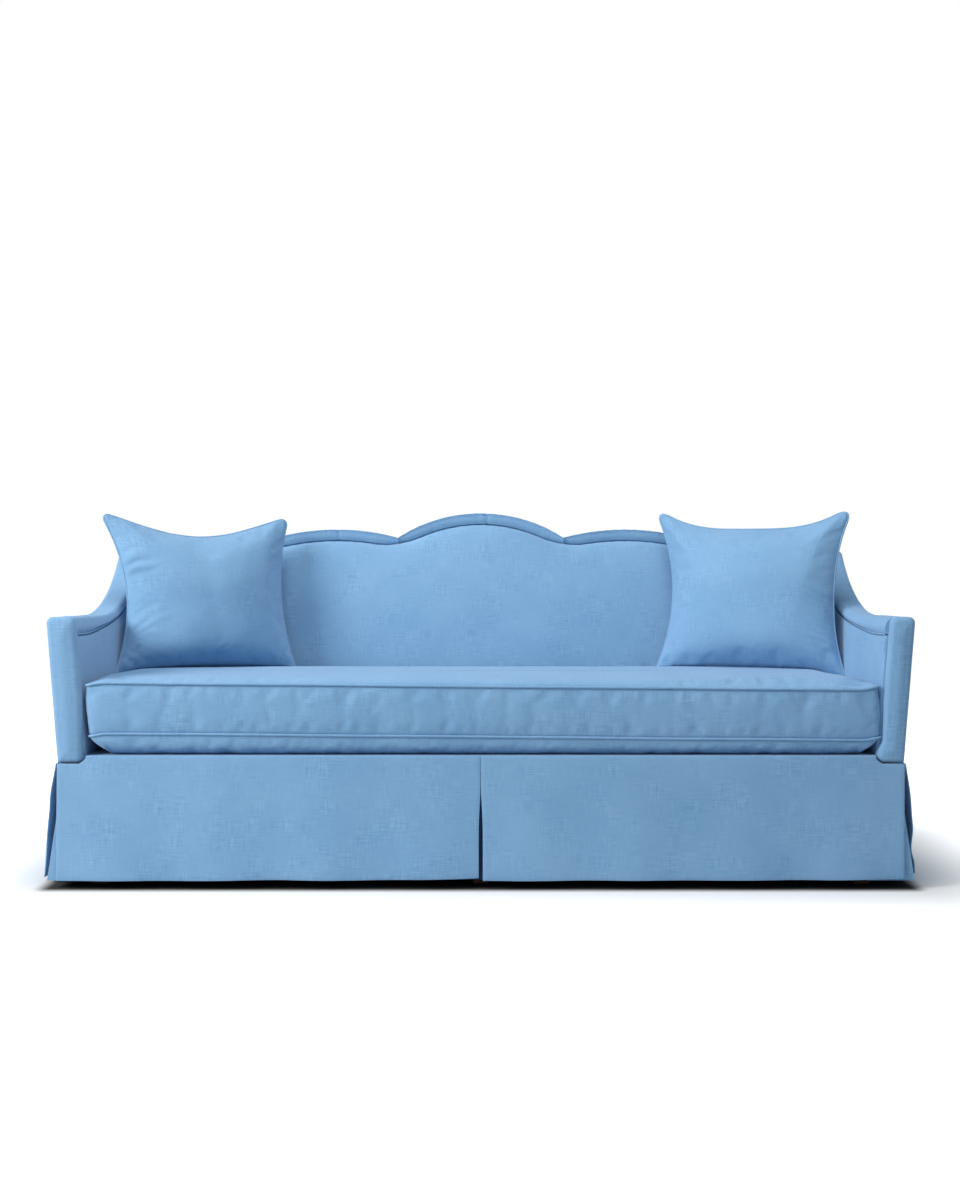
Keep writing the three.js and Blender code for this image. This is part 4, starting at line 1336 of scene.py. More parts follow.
@dataclass(frozen=True)
class ClothRun:
    """The settings of one cloth simulation."""

    pressure: float
    frames: int = 20
    shrink: float = 0.0
    stiffness: float = 15.0
    bending: float = 0.5
    shear_part: float = 3
    mass: float = 0.3
    damping: float = 2
    quality: int = 6
    cap: float = 25 * MM

    def run(self, obj: bpy.types.Object, pinned: str) -> None:
        """Puffs an object up and applies the result.

        Args:
            obj: The closed mesh.
            pinned: The vertex group that holds still.
        """
        before = [v.co.copy() for v in obj.data.vertices]
        cloth = obj.modifiers.new("puff", "CLOTH")
        settings = cloth.settings
        settings.quality = self.quality
        settings.mass = self.mass
        settings.tension_stiffness = settings.compression_stiffness = self.stiffness
        settings.shear_stiffness = self.stiffness / self.shear_part
        settings.bending_stiffness = self.bending
        settings.use_pressure = True
        settings.uniform_pressure_force = self.pressure
        settings.shrink_min = self.shrink
        settings.effector_weights.gravity = 0
        settings.air_damping = self.damping
        cloth.collision_settings.use_collision = False
        cloth.collision_settings.use_self_collision = False
        settings.vertex_group_mass = pinned
        scene = bpy.context.scene
        cloth.point_cache.frame_start = 1
        cloth.point_cache.frame_end = self.frames
        for number in range(1, self.frames + 1):
            scene.frame_set(number)
        pick(obj)
        bpy.ops.object.modifier_apply(modifier=cloth.name)
        scene.frame_set(1)
        for vertex, start in zip(obj.data.vertices, before):
            move = vertex.co - start
            if move.length > self.cap:
                vertex.co = start + move * (self.cap / move.length)


@dataclass
class BenchCushion:
    """The loose bench cushion: top and bottom welts, a boxed side and a crown."""

    plan: SofaPlan = PLAN
    half: float = 994.5 * MM
    slip: float = 2.5 * MM
    low_slip: float = 8 * MM
    front: float = 8 * MM
    back_gap: float = 15 * MM
    belly: float = 47.2 * MM
    boxing: float = 126 * MM
    crown: float = 16 * MM
    crown_power: float = 8.0
    belly_reach: float = 0.14
    corner_cut: float = 46 * MM
    belly_rings: int = 8
    front_corner: float = 14 * MM
    rear_corner: float = 34 * MM
    draw_in: float = 8 * MM
    draw_zone: tuple[float, float] = (0.9, 0.1)
    wander: Waver = Waver(1.6 * MM, 340 * MM, 8.0)
    tilt: float = 8.5 * MM
    tilt_reach: float = 300 * MM
    left_lift: float = 12 * MM
    lift_zone: tuple[float, float] = (0.6, 0.4)
    lift_runs: tuple[float, float] = (220 * MM, 200 * MM)
    curls: tuple[float, float] = (-7 * MM, 7 * MM)
    curl_zone: tuple[float, float] = (0.95, 0.05)
    crown_sway: float = 0.3
    cut_zone: tuple[float, float] = (0.93, 0.07)
    cut_reach: float = 160 * MM
    cut_power: float = 1.1
    slip_reach: float = 200 * MM
    arm_room: tuple[float, float] = (-3 * MM, 7 * MM)
    arm_room_run: float = 120 * MM
    face_power: float = 0.8
    around: int = 440
    face_rings: int = 22
    boxing_rows: int = 12
    welt: float = 3.3 * MM
    welt_proud: float = 0.6 * MM
    welt_sink: float = 2.4 * MM
    sink_zone: tuple[float, float] = (0.985, 0.015)
    welt_points: int = 420
    seam_room: float = 0.5 * MM
    edge_room: float = 3 * MM
    rear_room: float = 1 * MM
    foot_room: float = 2 * MM
    groove: float = 3.5 * MM
    groove_half: float = 5 * MM
    run: ClothRun = ClothRun(pressure=1.6, shrink=-0.022, stiffness=14, bending=0.5, cap=6 * MM)

    @property
    def back(self) -> float:
        """Depth of the cushion's rear."""
        return self.plan.back_face - self.back_gap

    @property
    def bottom_seam(self) -> float:
        """Height of the lower welt."""
        return self.plan.deck_top + self.plan.gap + self.belly

    @property
    def top_seam(self) -> float:
        """Height of the upper welt."""
        return self.bottom_seam + self.boxing

    @property
    def outline(self) -> RoundedOutline:
        """The cushion's outline from above, with depths along Y."""
        corners = (self.front_corner, self.front_corner, self.rear_corner, self.rear_corner)
        return RoundedOutline((-self.half, self.front), (self.half, self.back), corners)

    def rings(self) -> list[tuple[float, float]]:
        """The rings from the middle of the bottom to the middle of the top, grooved at both seams."""
        low, high, side = self.bottom_seam, self.top_seam, self.groove_half
        inset = self.groove / ((self.back - self.front) / 2)
        rings = []
        for step in range(self.face_rings // 2 + 1):
            rings.append((mix(1.0, self.belly_reach, 2 * step / self.face_rings), low - self.belly))
        for step in range(1, self.belly_rings + 1):
            angle = math.pi / 2 * (1 - step / self.belly_rings)
            share = self.belly_reach * (1 - math.cos(angle))
            rings.append((share, low - side - (self.belly - side) * math.sin(angle) ** self.face_power))
        rings.append((inset, low))
        for step in range(self.boxing_rows + 1):
            rings.append((0.0, mix(low + side, high - side, step / self.boxing_rows)))
        rings.append((inset, high))
        for step in range(self.face_rings + 1):
            share = 1 - (1 - step / self.face_rings) ** self.face_power
            lift = (self.crown - side / 2) * (1 - (1 - share) ** self.crown_power)
            rings.append((max(share, inset / 3), high + side / 2 + lift))
        return rings

    def draw(self, x: float, depth: float) -> float:
        """How far the ends are drawn in at a place."""
        middle, reach = (self.front + self.back) / 2, (self.back - self.front) / 2
        end = rise_from(abs(x) / self.half, *self.draw_zone)
        return self.draw_in * end * (1 - clamp(abs(depth - middle) / reach) ** 2)

    def sway(self, x: float, depth: float, seam: float) -> float:
        """How far a welt sits above its level line: it wanders, and the front one runs down to the right."""
        share = x / self.half
        ahead = smooth(1 - (depth - self.front) / self.tilt_reach)
        curl = self.curls[x > 0] * rise_from(abs(x) / self.half, *self.curl_zone)
        front_run, rear_run = self.lift_runs
        lift = self.left_lift * rise_from(-share, *self.lift_zone) * rise_from(depth, self.front, front_run)
        lift *= seam * smooth((self.back - depth) / rear_run)
        return self.wander.at(Vector((x, seam, 0))) + lift + (curl - self.tilt * share) * ahead

    def form(self) -> bpy.types.Object:
        """The cushion before it is puffed, with even faces along its seams."""
        obj = add_shell("bench_cushion", self.around, self.rings(), self.outline)
        for vertex in obj.data.vertices:
            x, depth, z = vertex.co
            over = mix(1, self.crown_sway, rise_from(z, self.top_seam, self.crown))
            top = rise_from(z, self.bottom_seam, self.boxing) * over
            low = smooth((self.top_seam - z) / self.boxing) * rise_from(z, self.plan.deck_top, self.belly)
            z += self.sway(x, depth, 1.0) * top + self.sway(x, depth, 0.0) * low
            below = clamp((self.bottom_seam - z) / self.belly) ** self.cut_power
            ahead = smooth(1 - (depth - self.front) / self.cut_reach)
            end = rise_from(abs(x) / self.half, *self.cut_zone) * ahead
            vertex.co = self.at(x - math.copysign(self.corner_cut * below * end, x), depth, z)
        return obj

    def at(self, x: float, depth: float, z: float) -> Vector:
        """A point of the cushion in the sofa's frame, with its ends drawn in."""
        ahead = smooth(1 - (depth - self.front) / self.slip_reach)
        low = smooth((self.top_seam - z) / self.boxing) * ahead
        x += self.slip + self.low_slip * low - math.copysign(self.draw(x, depth), x)
        return self.plan.at_depth(x, depth, z)

    def hold_seams(self, obj: bpy.types.Object) -> str:
        """Holds the points at the welts and where the cushion rests.

        Args:
            obj: The cushion.

        Returns:
            The name of the vertex group.
        """
        group = obj.vertex_groups.new(name="held")
        for vertex in obj.data.vertices:
            x, depth, z = vertex.co.x - self.slip, vertex.co.y - self.plan.front, vertex.co.z
            seams = (self.top_seam + self.sway(x, depth, 1.0), self.bottom_seam + self.sway(x, depth, 0.0))
            near = min(abs(z - seam) for seam in seams) < self.groove_half + self.seam_room
            inward = min(self.half - abs(x), depth - self.front, self.back - depth)
            edge = inward < self.draw_in + self.edge_room
            rear = depth > self.back - self.rear_room and seams[1] <= z <= seams[0]
            if (near and edge) or rear or z < self.plan.deck_top + self.foot_room:
                group.add([vertex.index], 1.0, "REPLACE")
        return group.name

    def keep_clear(self, obj: bpy.types.Object) -> None:
        """Keeps the puffed cushion off the deck, the arms and the back."""
        plan = self.plan
        floor = plan.deck_top + plan.gap
        rear = plan.front + self.back
        for vertex in obj.data.vertices:
            x, y, z = vertex.co
            room = mix(*self.arm_room, rise_from(y, plan.front, self.arm_room_run))
            side = plan.arm_inner_at(max(z, floor)) - room
            vertex.co = (clamp(x, -side, side), min(y, rear), max(z, floor))

    def build_welt(self, word: str, seam: float, height: float) -> None:
        """One welt round the cushion.

        Args:
            word: The welt's name.
            seam: Which way it wanders.
            height: The height of its seam.
        """
        line = []
        for step in range(self.welt_points):
            flat = self.outline.at(step / self.welt_points)
            sunk = self.welt_sink * rise_from(abs(flat.x) / self.half, *self.sink_zone)
            out = (flat - self.outline.spine_of(flat)).normalized() * (self.welt_proud - sunk)
            line.append(self.at(flat.x, flat.y, height + self.sway(flat.x, flat.y, seam)) + out)
        welt = add_piping(f"cushion_{word}_welt", line, self.welt, closed=True)
        dress(welt, Finish.LINEN, "cushion")

    def build(self) -> bpy.types.Object:
        """Builds, puffs and dresses the cushion with its welts, and gives it back."""
        obj = self.form()
        held = self.hold_seams(obj)
        self.run.run(obj, held)
        self.keep_clear(obj)
        obj.vertex_groups.clear()
        subdivide_once(obj)
        dress(obj, Finish.LINEN, "cushion", ["seat_cushion_cover", "seat_cushion_core"], angle=80)
        self.build_welt("top", 1.0, self.top_seam)
        self.build_welt("bottom", 0.0, self.bottom_seam)
        return obj


@dataclass(frozen=True)
class Rim:
    """How far one edge of a pillow is drawn in between its corners, and how suddenly."""

    draw: float
    power: float = 2.0
    ease: float = 1.0

    def at(self, share: float) -> float:
        """The draw at a share of the way along the edge."""
        return self.draw * (1 - abs(2 * clamp(share) - 1) ** self.power) ** self.ease


@dataclass(frozen=True)
class Pucker:
    """A patch of short folds that run in from a side edge of a pillow."""

    edge: Side
    height: float
    deep: float = 9 * MM
    patch: float = 0.13
    pitch: float = 60 * MM
    reach: float = 46 * MM
    slant: float = 0.45
    start: float = 10 * MM
    gain: float = 2.4
    plain: float = 0.55
    wander: Waver = Waver(4.5, 75 * MM, 4.0)
    change: Waver = Waver(0.9, 50 * MM, 9.0)
    stretch: tuple[float, float] = (0.6, 0.5)

    def at(self, inward: float, up: float, tall: float) -> float:
        """How far the folds lift the cloth.

        Args:
            inward: Distance in from the edge.
            up: Share of the way up the edge.
            tall: The pillow's height.

        Returns:
            The lift.
        """
        fade = math.exp(-inward / self.reach) * inward / (inward + self.start)
        window = math.exp(-(((up - self.height) / self.patch) ** 2))
        along = up * tall - self.slant * inward
        first, second = self.stretch
        wander = self.wander.at(Vector((inward * first, along, self.height)))
        strength = self.plain + self.change.at(Vector((inward * second, along, 1 + self.height)))
        wave = math.sin(2 * math.pi * along / self.pitch + wander)
        return self.deep * self.gain * strength * fade * window * wave


@dataclass
class ThrowPillow:
    """A loose square pillow with a knife edge, leaning in a corner of the sofa.

    The corner shifts say how far each corner of the case sits off the plain rectangle,
    across and up: top left, top right, bottom left, bottom right. The rims are those of
    the left, right, bottom and top edges.
    """

    side: Side
    x: float
    depth: float
    foot_rise: float
    yaw: float
    corner_shifts: tuple[tuple[float, float], ...]
    rims: tuple[Rim, Rim, Rim, Rim]
    ear_round: float
    puckers: tuple[Pucker, ...]
    plan: SofaPlan = PLAN
    lean: float = math.radians(16.5)
    wide: float = 524 * MM
    tall: float = 456 * MM
    thick: float = 176 * MM
    seat: float = 502 * MM
    cells: int = 64
    ease: float = 1.04
    welt: float = 2.7 * MM
    edge: float = 3 * MM
    foot_round: float = 8 * MM
    puff_power: float = 2.3
    foot_power: float = 4.6
    puff_ease: float = 0.68
    unevenness: float = 6 * MM
    uneven: Waver = Waver(1.0, 150 * MM)
    face_seeds: tuple[float, float] = (5.0, 2.0)
    case_waver: Waver = Waver(1.5 * MM, 60 * MM)
    case_seed: float = 3.0
    rim_share: float = 0.5 - 1e-4
    above: float = 1.0
    run: ClothRun = ClothRun(pressure=0.6, shrink=-0.008, stiffness=14, bending=0.3, cap=4 * MM)

    @property
    def flat(self) -> tuple[float, float]:
        """Width and height of the case before it is filled."""
        return self.wide * self.ease, self.tall * self.ease

    def case(self) -> bpy.types.Object:
        """The flat case, two layers of cloth joined at the rim."""
        wide, tall = self.flat

        def layer(z: float) -> Place:
            return lambda u, v: Vector(((u - 0.5) * wide, (v - 0.5) * tall, z))

        name = f"{self.side.word}_pillow_case"
        obj = add_pad(name, self.cells, self.cells, layer(-self.edge / 2), layer(self.edge / 2))
        lay_cloth(obj, lambda point, normal: (point.x, point.y))
        for vertex in obj.data.vertices:
            flat = Vector((vertex.co.x, vertex.co.y, 0))
            vertex.co.z += self.case_waver.at(flat, self.case_seed * self.side.sign)
        return obj

    def round_ears(self, obj: bpy.types.Object) -> None:
        """Rounds the case's four corners."""
        wide, tall = self.flat
        for vertex in obj.data.vertices:
            x, y, z = vertex.co
            size = self.ear_round if y > 0 else self.foot_round
            a = (abs(x) - wide / 2 + size) / size
            b = (abs(y) - tall / 2 + size) / size
            if a > 0 and b > 0:
                round_x = wide / 2 - size + size * a * math.sqrt(1 - b * b / 2)
                round_y = tall / 2 - size + size * b * math.sqrt(1 - a * a / 2)
                vertex.co = (math.copysign(round_x, x), math.copysign(round_y, y), z)

    def rim_of(self, obj: bpy.types.Object) -> list[list[int]]:
        """The pairs of points round the rim of the flat case, in order."""
        wide, tall = self.flat
        rim: dict[tuple[int, int], list[int]] = {}
        for vertex in obj.data.vertices:
            x, y, _ = vertex.co
            if max(abs(x) / wide, abs(y) / tall) > self.rim_share:
                rim.setdefault((round(x / MM), round(y / MM)), []).append(vertex.index)
        order = sorted(rim, key=lambda place: math.atan2(place[1] / tall, place[0] / wide))
        return [rim[key] for key in order]

    def fill(self, obj: bpy.types.Object, rim: Sequence[Sequence[int]]) -> None:
        """Fills the flat case to its form, then lets the cloth wrinkle as it settles.

        Args:
            obj: The flat case.
            rim: The pairs of points round its rim.
        """
        wide, tall = self.flat
        left, right, bottom, top = self.rims
        side_seed, front_seed = self.face_seeds
        for vertex in obj.data.vertices:
            x, y, z = vertex.co
            u, v = x / wide + 0.5, y / tall + 0.5
            across = mix(left.at(v) - self.wide / 2, self.wide / 2 - right.at(v), u)
            up = mix(bottom.at(u) - self.tall / 2, self.tall / 2 - top.at(u), v)
            power = self.puff_power if v > 0.5 else self.foot_power
            full = max((1 - abs(2 * u - 1) ** self.puff_power) * (1 - abs(2 * v - 1) ** power), 0.0)
            seed = side_seed * self.side.sign + (front_seed if z > 0 else 0.0)
            uneven = self.unevenness * full * self.uneven.at(Vector((x, y, 0)), seed)
            for pucker in self.puckers:
                inward = (1 - u if pucker.edge is Side.RIGHT else u) * wide
                uneven += math.copysign(pucker.at(inward, v, tall), z)
            vertex.co = (across, up, z + math.copysign(self.thick / 2 * full**self.puff_ease, z) + uneven)
        group = obj.vertex_groups.new(name="rim")
        group.add([index for pair in rim for index in pair], 1.0, "REPLACE")
        self.run.run(obj, group.name)
        obj.vertex_groups.clear()

    def place(self, obj: bpy.types.Object, cushion: bpy.types.Object) -> None:
        """Leans the filled pillow in its corner, with its foot flattened by the seat.

        Args:
            obj: The filled pillow.
            cushion: The bench cushion that it stands on.
        """
        points = obj.data.vertices
        deep = max(v.co.z for v in points) - min(v.co.z for v in points)
        rise = self.tall / 2 * math.cos(self.lean)
        centre = self.plan.at_depth(self.x, self.depth, self.seat + self.foot_rise + rise)
        right = Vector((math.cos(self.yaw), math.sin(self.yaw), 0))
        back = Vector((-math.sin(self.yaw), math.cos(self.yaw), 0))
        up = Vector((0, 0, math.cos(self.lean))) + back * math.sin(self.lean)
        out = right.cross(up)
        for vertex in points:
            x, y, z = vertex.co
            across, rising = self.shift(x, y)
            point = centre + right * (x + across) + up * (y + rising) + out * z * (self.thick / deep)
            met, seat, _, _ = cushion.ray_cast(Vector((point.x, point.y, self.above)), Vector((0, 0, -1)))
            if met:
                point.z = max(point.z, seat.z + self.plan.gap)
            vertex.co = point

    def shift(self, x: float, y: float) -> tuple[float, float]:
        """How far a place moves with the case's corners, across and up."""
        u, v = clamp(x / self.wide + 0.5), clamp(y / self.tall + 0.5)
        weights = ((1 - u) * v, u * v, (1 - u) * (1 - v), u * (1 - v))
        moves = [(weight * across, weight * up) for weight, (across, up) in zip(weights, self.corner_shifts)]
        return sum(move[0] for move in moves), sum(move[1] for move in moves)

    def build(self, cushion: bpy.types.Object) -> None:
        """Builds, fills, places and dresses the pillow with its welt.

        Args:
            cushion: The bench cushion that it stands on.
        """
        name = f"{self.side.word}_pillow"
        obj = self.case()
        rim = self.rim_of(obj)
        self.round_ears(obj)
        self.fill(obj, rim)
        self.place(obj, cushion)
        line = []
        for pair in rim:
            line.append(sum((obj.data.vertices[index].co for index in pair), Vector()) / len(pair))
        subdivide_once(obj)
        dress(obj, Finish.LINEN, name, [f"{name}_cover", f"{name}_insert"], angle=80)
        welt = add_piping(f"{name}_welt", line, self.welt, closed=True)
        dress(welt, Finish.LINEN, name)


@dataclass
class Skirt:
    """The kick-pleat skirt: five panels, and linings behind the pleats."""

    plan: SofaPlan = PLAN
    hem: float = 15 * MM
    cloth: float = 3 * MM
    lining: float = 2 * MM
    top_proud: float = 0.5 * MM
    front_flare: float = 14 * MM
    side_flare: float = 46 * MM
    back_flare: float = 14 * MM
    corner_slip: float = 55 * MM
    front_spread: tuple[float, float] = (-2 * MM, -5 * MM)
    front_hem_rise: float = 7 * MM
    hem_corners: tuple[float, float] = (-2 * MM, 3 * MM)
    pleat_gap: float = 0.5 * MM
    pleat_open: float = 4.5 * MM
    lining_half: float = 100 * MM
    lining_leg: float = 80 * MM
    lining_share: float = 0.8
    centre_lining_share: float = 0.15
    lining_hem: float = 21 * MM
    lining_top: float = 289 * MM
    lining_in: float = 3 * MM
    lining_bend: float = 8 * MM
    lining_corner: float = 1040 * MM
    lining_turn: float = 20 * MM
    lining_cells: tuple[int, int] = (32, 20)
    hem_lift: float = 5 * MM
    hem_lift_shares: tuple[float, float] = (1.0, -0.3)
    hem_reaches: tuple[float, float] = (120 * MM, 160 * MM)
    hem_waver: Waver = Waver(1.5 * MM, 210 * MM, 12.0)
    corner_in: float = 2 * MM
    notch_room: float = 5 * MM
    notch_run: float = 8 * MM
    pleat_reach: float = 90 * MM
    pleat_zone: tuple[float, float] = (0.22, 0.4)
    side_in: float = 3 * MM
    back_out: float = 4 * MM
    wave: float = 3.0 * MM
    wave_pitch: float = 260 * MM
    wave_slack: float = 0.2
    wave_wander: Waver = Waver(30 * MM, 300 * MM, 2.0)
    cell: float = 11 * MM
    rows: int = 26
    turned_edge: float = 1.1 * MM
    fold_reach: float = 220 * MM
    side_hem_rise: tuple[float, float] = (0.0, 10 * MM)
    left_fold: tuple[tuple[float, float], ...] = ((0.0, 0.0), (0.26, 4 * MM), (0.45, 1 * MM), (1.0, -6 * MM))
    right_fold: tuple[tuple[float, float], ...] = (
        (0.0, 0.0), (0.26, 1.5 * MM), (0.55, -2 * MM), (0.8, -14 * MM), (0.9, -10 * MM), (1.0, -12 * MM)
    )

    def swing(self, along: float, down: float) -> float:
        """How far the cloth swings out, along its width and down its drop."""
        wander = along + self.wave_wander.at(Vector((along, down * self.wave_slack, 0)))
        return self.wave * down * (1 - math.cos(2 * math.pi * wander / self.wave_pitch))

    def hang(
        self,
        name: str,
        node: str,
        top: Callable[[float], Vector],
        foot: Callable[[float], Vector],
        outward: Vector,
        flat: tuple[float, float],
        thickness: float | None = None,
        shift: Callable[[float, float], Vector] | None = None,
        finish: Finish = Finish.LINEN,
    ) -> None:
        """One hanging panel.

        Args:
            name: The piece's name.
            node: The CAD node that it stands for.
            top: Gives the point of its top for a share across.
            foot: Gives the point of its hem for a share across.
            outward: The direction away from the frame.
            flat: Its flat width and drop.
            thickness: Its thickness, or that of the skirt's cloth.
            shift: Gives an extra move for shares across and down.
            finish: Its finish.
        """
        thick = self.cloth if thickness is None else thickness

        def at(u: float, v: float, extra: float) -> Vector:
            down = 1 - v
            place = top(u).lerp(foot(u), down)
            if shift:
                place += shift(u, down)
            along = place.y if outward.x else place.x
            return place + outward * (self.swing(along, down) + extra)

        obj = add_slab(name, round(flat[0] / self.cell), self.rows, at, (0.0, thick))
        soft_edges(obj, self.turned_edge, 2)
        dress(obj, finish, replaces=[node], angle=50)

    def build_front(self, side: Side) -> None:
        """One front panel, from the centre pleat to a corner."""
        plan, sign = self.plan, side.sign
        half = plan.arm_inner_half + plan.arm_thickness - self.corner_in
        start = (plan.arm_inner_half - self.notch_room) / half
        pleat_reach, corner_reach = self.hem_reaches

        def top(u: float) -> Vector:
            notched = rise_from(u, start, self.notch_run)
            z = mix(plan.deck_top + self.top_proud, plan.arm_bottom - plan.gap, notched)
            return plan.at_depth(sign * mix(self.pleat_gap, half, u), -plan.gap, z)

        def foot(u: float) -> Vector:
            x = mix(self.pleat_gap, half + self.front_spread[sign > 0], u)
            pleat = self.hem_lift * math.exp(-u * half / pleat_reach) * self.hem_lift_shares[sign > 0]
            corner = self.hem_corners[sign > 0] * math.exp(-(1 - u) * half / corner_reach)
            wave = self.hem_waver.at(Vector((sign * x, 0, 0)))
            hem = self.hem + self.front_hem_rise + pleat + corner + wave
            return plan.at_depth(sign * x, -plan.gap - self.front_flare, hem)

        def open_pleat(u: float, down: float) -> Vector:
            near = max(0.0, 1 - u * half / self.pleat_reach)
            return Vector((sign * self.pleat_open * near * rise_from(down, *self.pleat_zone), 0, 0))

        name = f"front_{side.word}_skirt"
        flat = (half, plan.deck_top - self.hem)
        self.hang(f"{name}_panel", name, top, foot, Vector((0, -1, 0)), flat, shift=open_pleat)

    def build_side(self, side: Side) -> None:
        """One side panel, from the front corner to the rear."""
        plan, sign = self.plan, side.sign
        outer = plan.arm_inner_half + plan.arm_thickness + plan.gap
        front, rear = self.side_in, plan.rear_at(plan.arm_bottom)

        def top(u: float) -> Vector:
            return plan.at_depth(sign * outer, mix(front, rear, u), plan.arm_bottom - plan.gap)

        def foot(u: float) -> Vector:
            depth = mix(self.corner_slip, rear + self.back_flare, u)
            return plan.at_depth(sign * (outer + self.side_flare), depth, self.hem)

        def fold(u: float, down: float) -> Vector:
            near = math.exp(-u * (rear - front) / self.fold_reach)
            move = between(self.right_fold if sign > 0 else self.left_fold, down)
            return Vector((sign * move * near, 0, self.side_hem_rise[sign > 0] * near * down))

        name = f"{side.word}_side_skirt"
        flat = (rear - front, plan.arm_bottom - self.hem)
        self.hang(f"{name}_panel", name, top, foot, Vector((sign, 0, 0)), flat, shift=fold)

    def build_back(self) -> None:
        """The rear panel."""
        plan = self.plan
        half = plan.arm_inner_half + plan.arm_thickness
        depth = plan.rear_at(plan.arm_bottom) + self.back_out + 2 * plan.gap

        def top(u: float) -> Vector:
            return plan.at_depth(mix(-half, half, u), depth, plan.arm_bottom - plan.gap)

        def foot(u: float) -> Vector:
            wide = half + self.side_flare
            return plan.at_depth(mix(-wide, wide, u), depth + self.back_flare, self.hem)

        flat = (2 * half + self.side_flare, plan.arm_bottom - self.hem)
        self.hang("back_skirt_panel", "back_skirt", top, foot, Vector((0, 1, 0)), flat)

    def build_centre_lining(self) -> None:
        """The cloth behind the centre pleat, in linen darkened with painted shade."""
        drop = self.lining_top - self.lining_hem
        lean = Vector((0, -self.centre_lining_share * self.front_flare, -drop))

        def top(u: float) -> Vector:
            x = mix(-self.lining_half, self.lining_half, u)
            return self.plan.at_depth(x, self.lining_in - self.plan.gap, self.lining_top)

        name, flat = "centre_skirt_lining", (2 * self.lining_half, drop)
        self.hang(
            f"{name}_cloth",
            name,
            top,
            lambda u: top(u) + lean,
            Vector((0, -1, 0)),
            flat,
            self.lining,
            # Painted shade: the underlay's dark navy stands in for the shade inside the pleat.
            finish=Finish.PLEAT_LINEN,
        )

    def build_corner_lining(self, side: Side) -> None:
        """The cloth behind a front corner's pleat, bent round the corner."""
        plan, sign = self.plan, side.sign
        leg, gap, high, bend = self.lining_leg, plan.gap, self.lining_top, self.lining_bend
        corner = self.lining_corner + gap

        def along(u: float, extra: float) -> tuple[float, float, float, float]:
            run = (2 * u - 1) * leg
            turn = smooth((run + bend) / (2 * bend))
            x = corner + min(run, 0.0) + extra * turn
            depth = self.lining_in - gap + max(run, 0.0) - extra * (1 - turn if run > bend else 1)
            side_share = smooth((run + leg) / leg) if run < 0 else 1.0
            front_share = 1.0 if run < 0 else 1 - smooth(run / leg)
            return x, depth, side_share, front_share

        def at(u: float, v: float, extra: float) -> Vector:
            down = (1 - v) * self.lining_share
            x, depth, side_share, front_share = along(u, extra)
            x += self.side_flare * side_share * down
            depth -= self.front_flare * front_share * down
            return plan.at_depth(sign * x, depth, mix(high, self.lining_hem, 1 - v))

        node = f"{side.word}_corner_skirt_lining"
        obj = add_slab(f"{node}_cloth", *self.lining_cells, at, (0.0, self.lining))
        dress(obj, Finish.LINEN, replaces=[node], angle=50)

    def build(self) -> None:
        """Builds and dresses the whole skirt."""
        for side in Side:
            self.build_front(side)
            self.build_side(side)
            self.build_corner_lining(side)
        self.build_back()
        self.build_centre_lining()


@dataclass(frozen=True)
class HiddenFrame:
    """The CAD pieces that keep their shape and get a finish: timber, feet, springs, lining and zip."""

    upright_words: tuple[str, ...] = ("post", "stile", "block")

    def finish_of(self, node: str, slot: str) -> Finish:
        """The finish of a CAD node."""
        if slot == Finish.TIMBER.slot and any(word in node for word in self.upright_words):
            return Finish.UPRIGHT_TIMBER
        return next(finish for finish in Finish if finish.slot == slot)

    def build(self) -> None:
        """Gives every CAD node its finish."""
        slots = {row["node"]: row["material_slot"] for row in frame["record"]["subparts"]}
        for node, obj in frame["nodes"].items():
            material = material_of(self.finish_of(node, slots[node]))
            if obj.data.materials:
                for index in range(len(obj.data.materials)):
                    obj.data.materials[index] = material
            else:
                obj.data.materials.append(material)


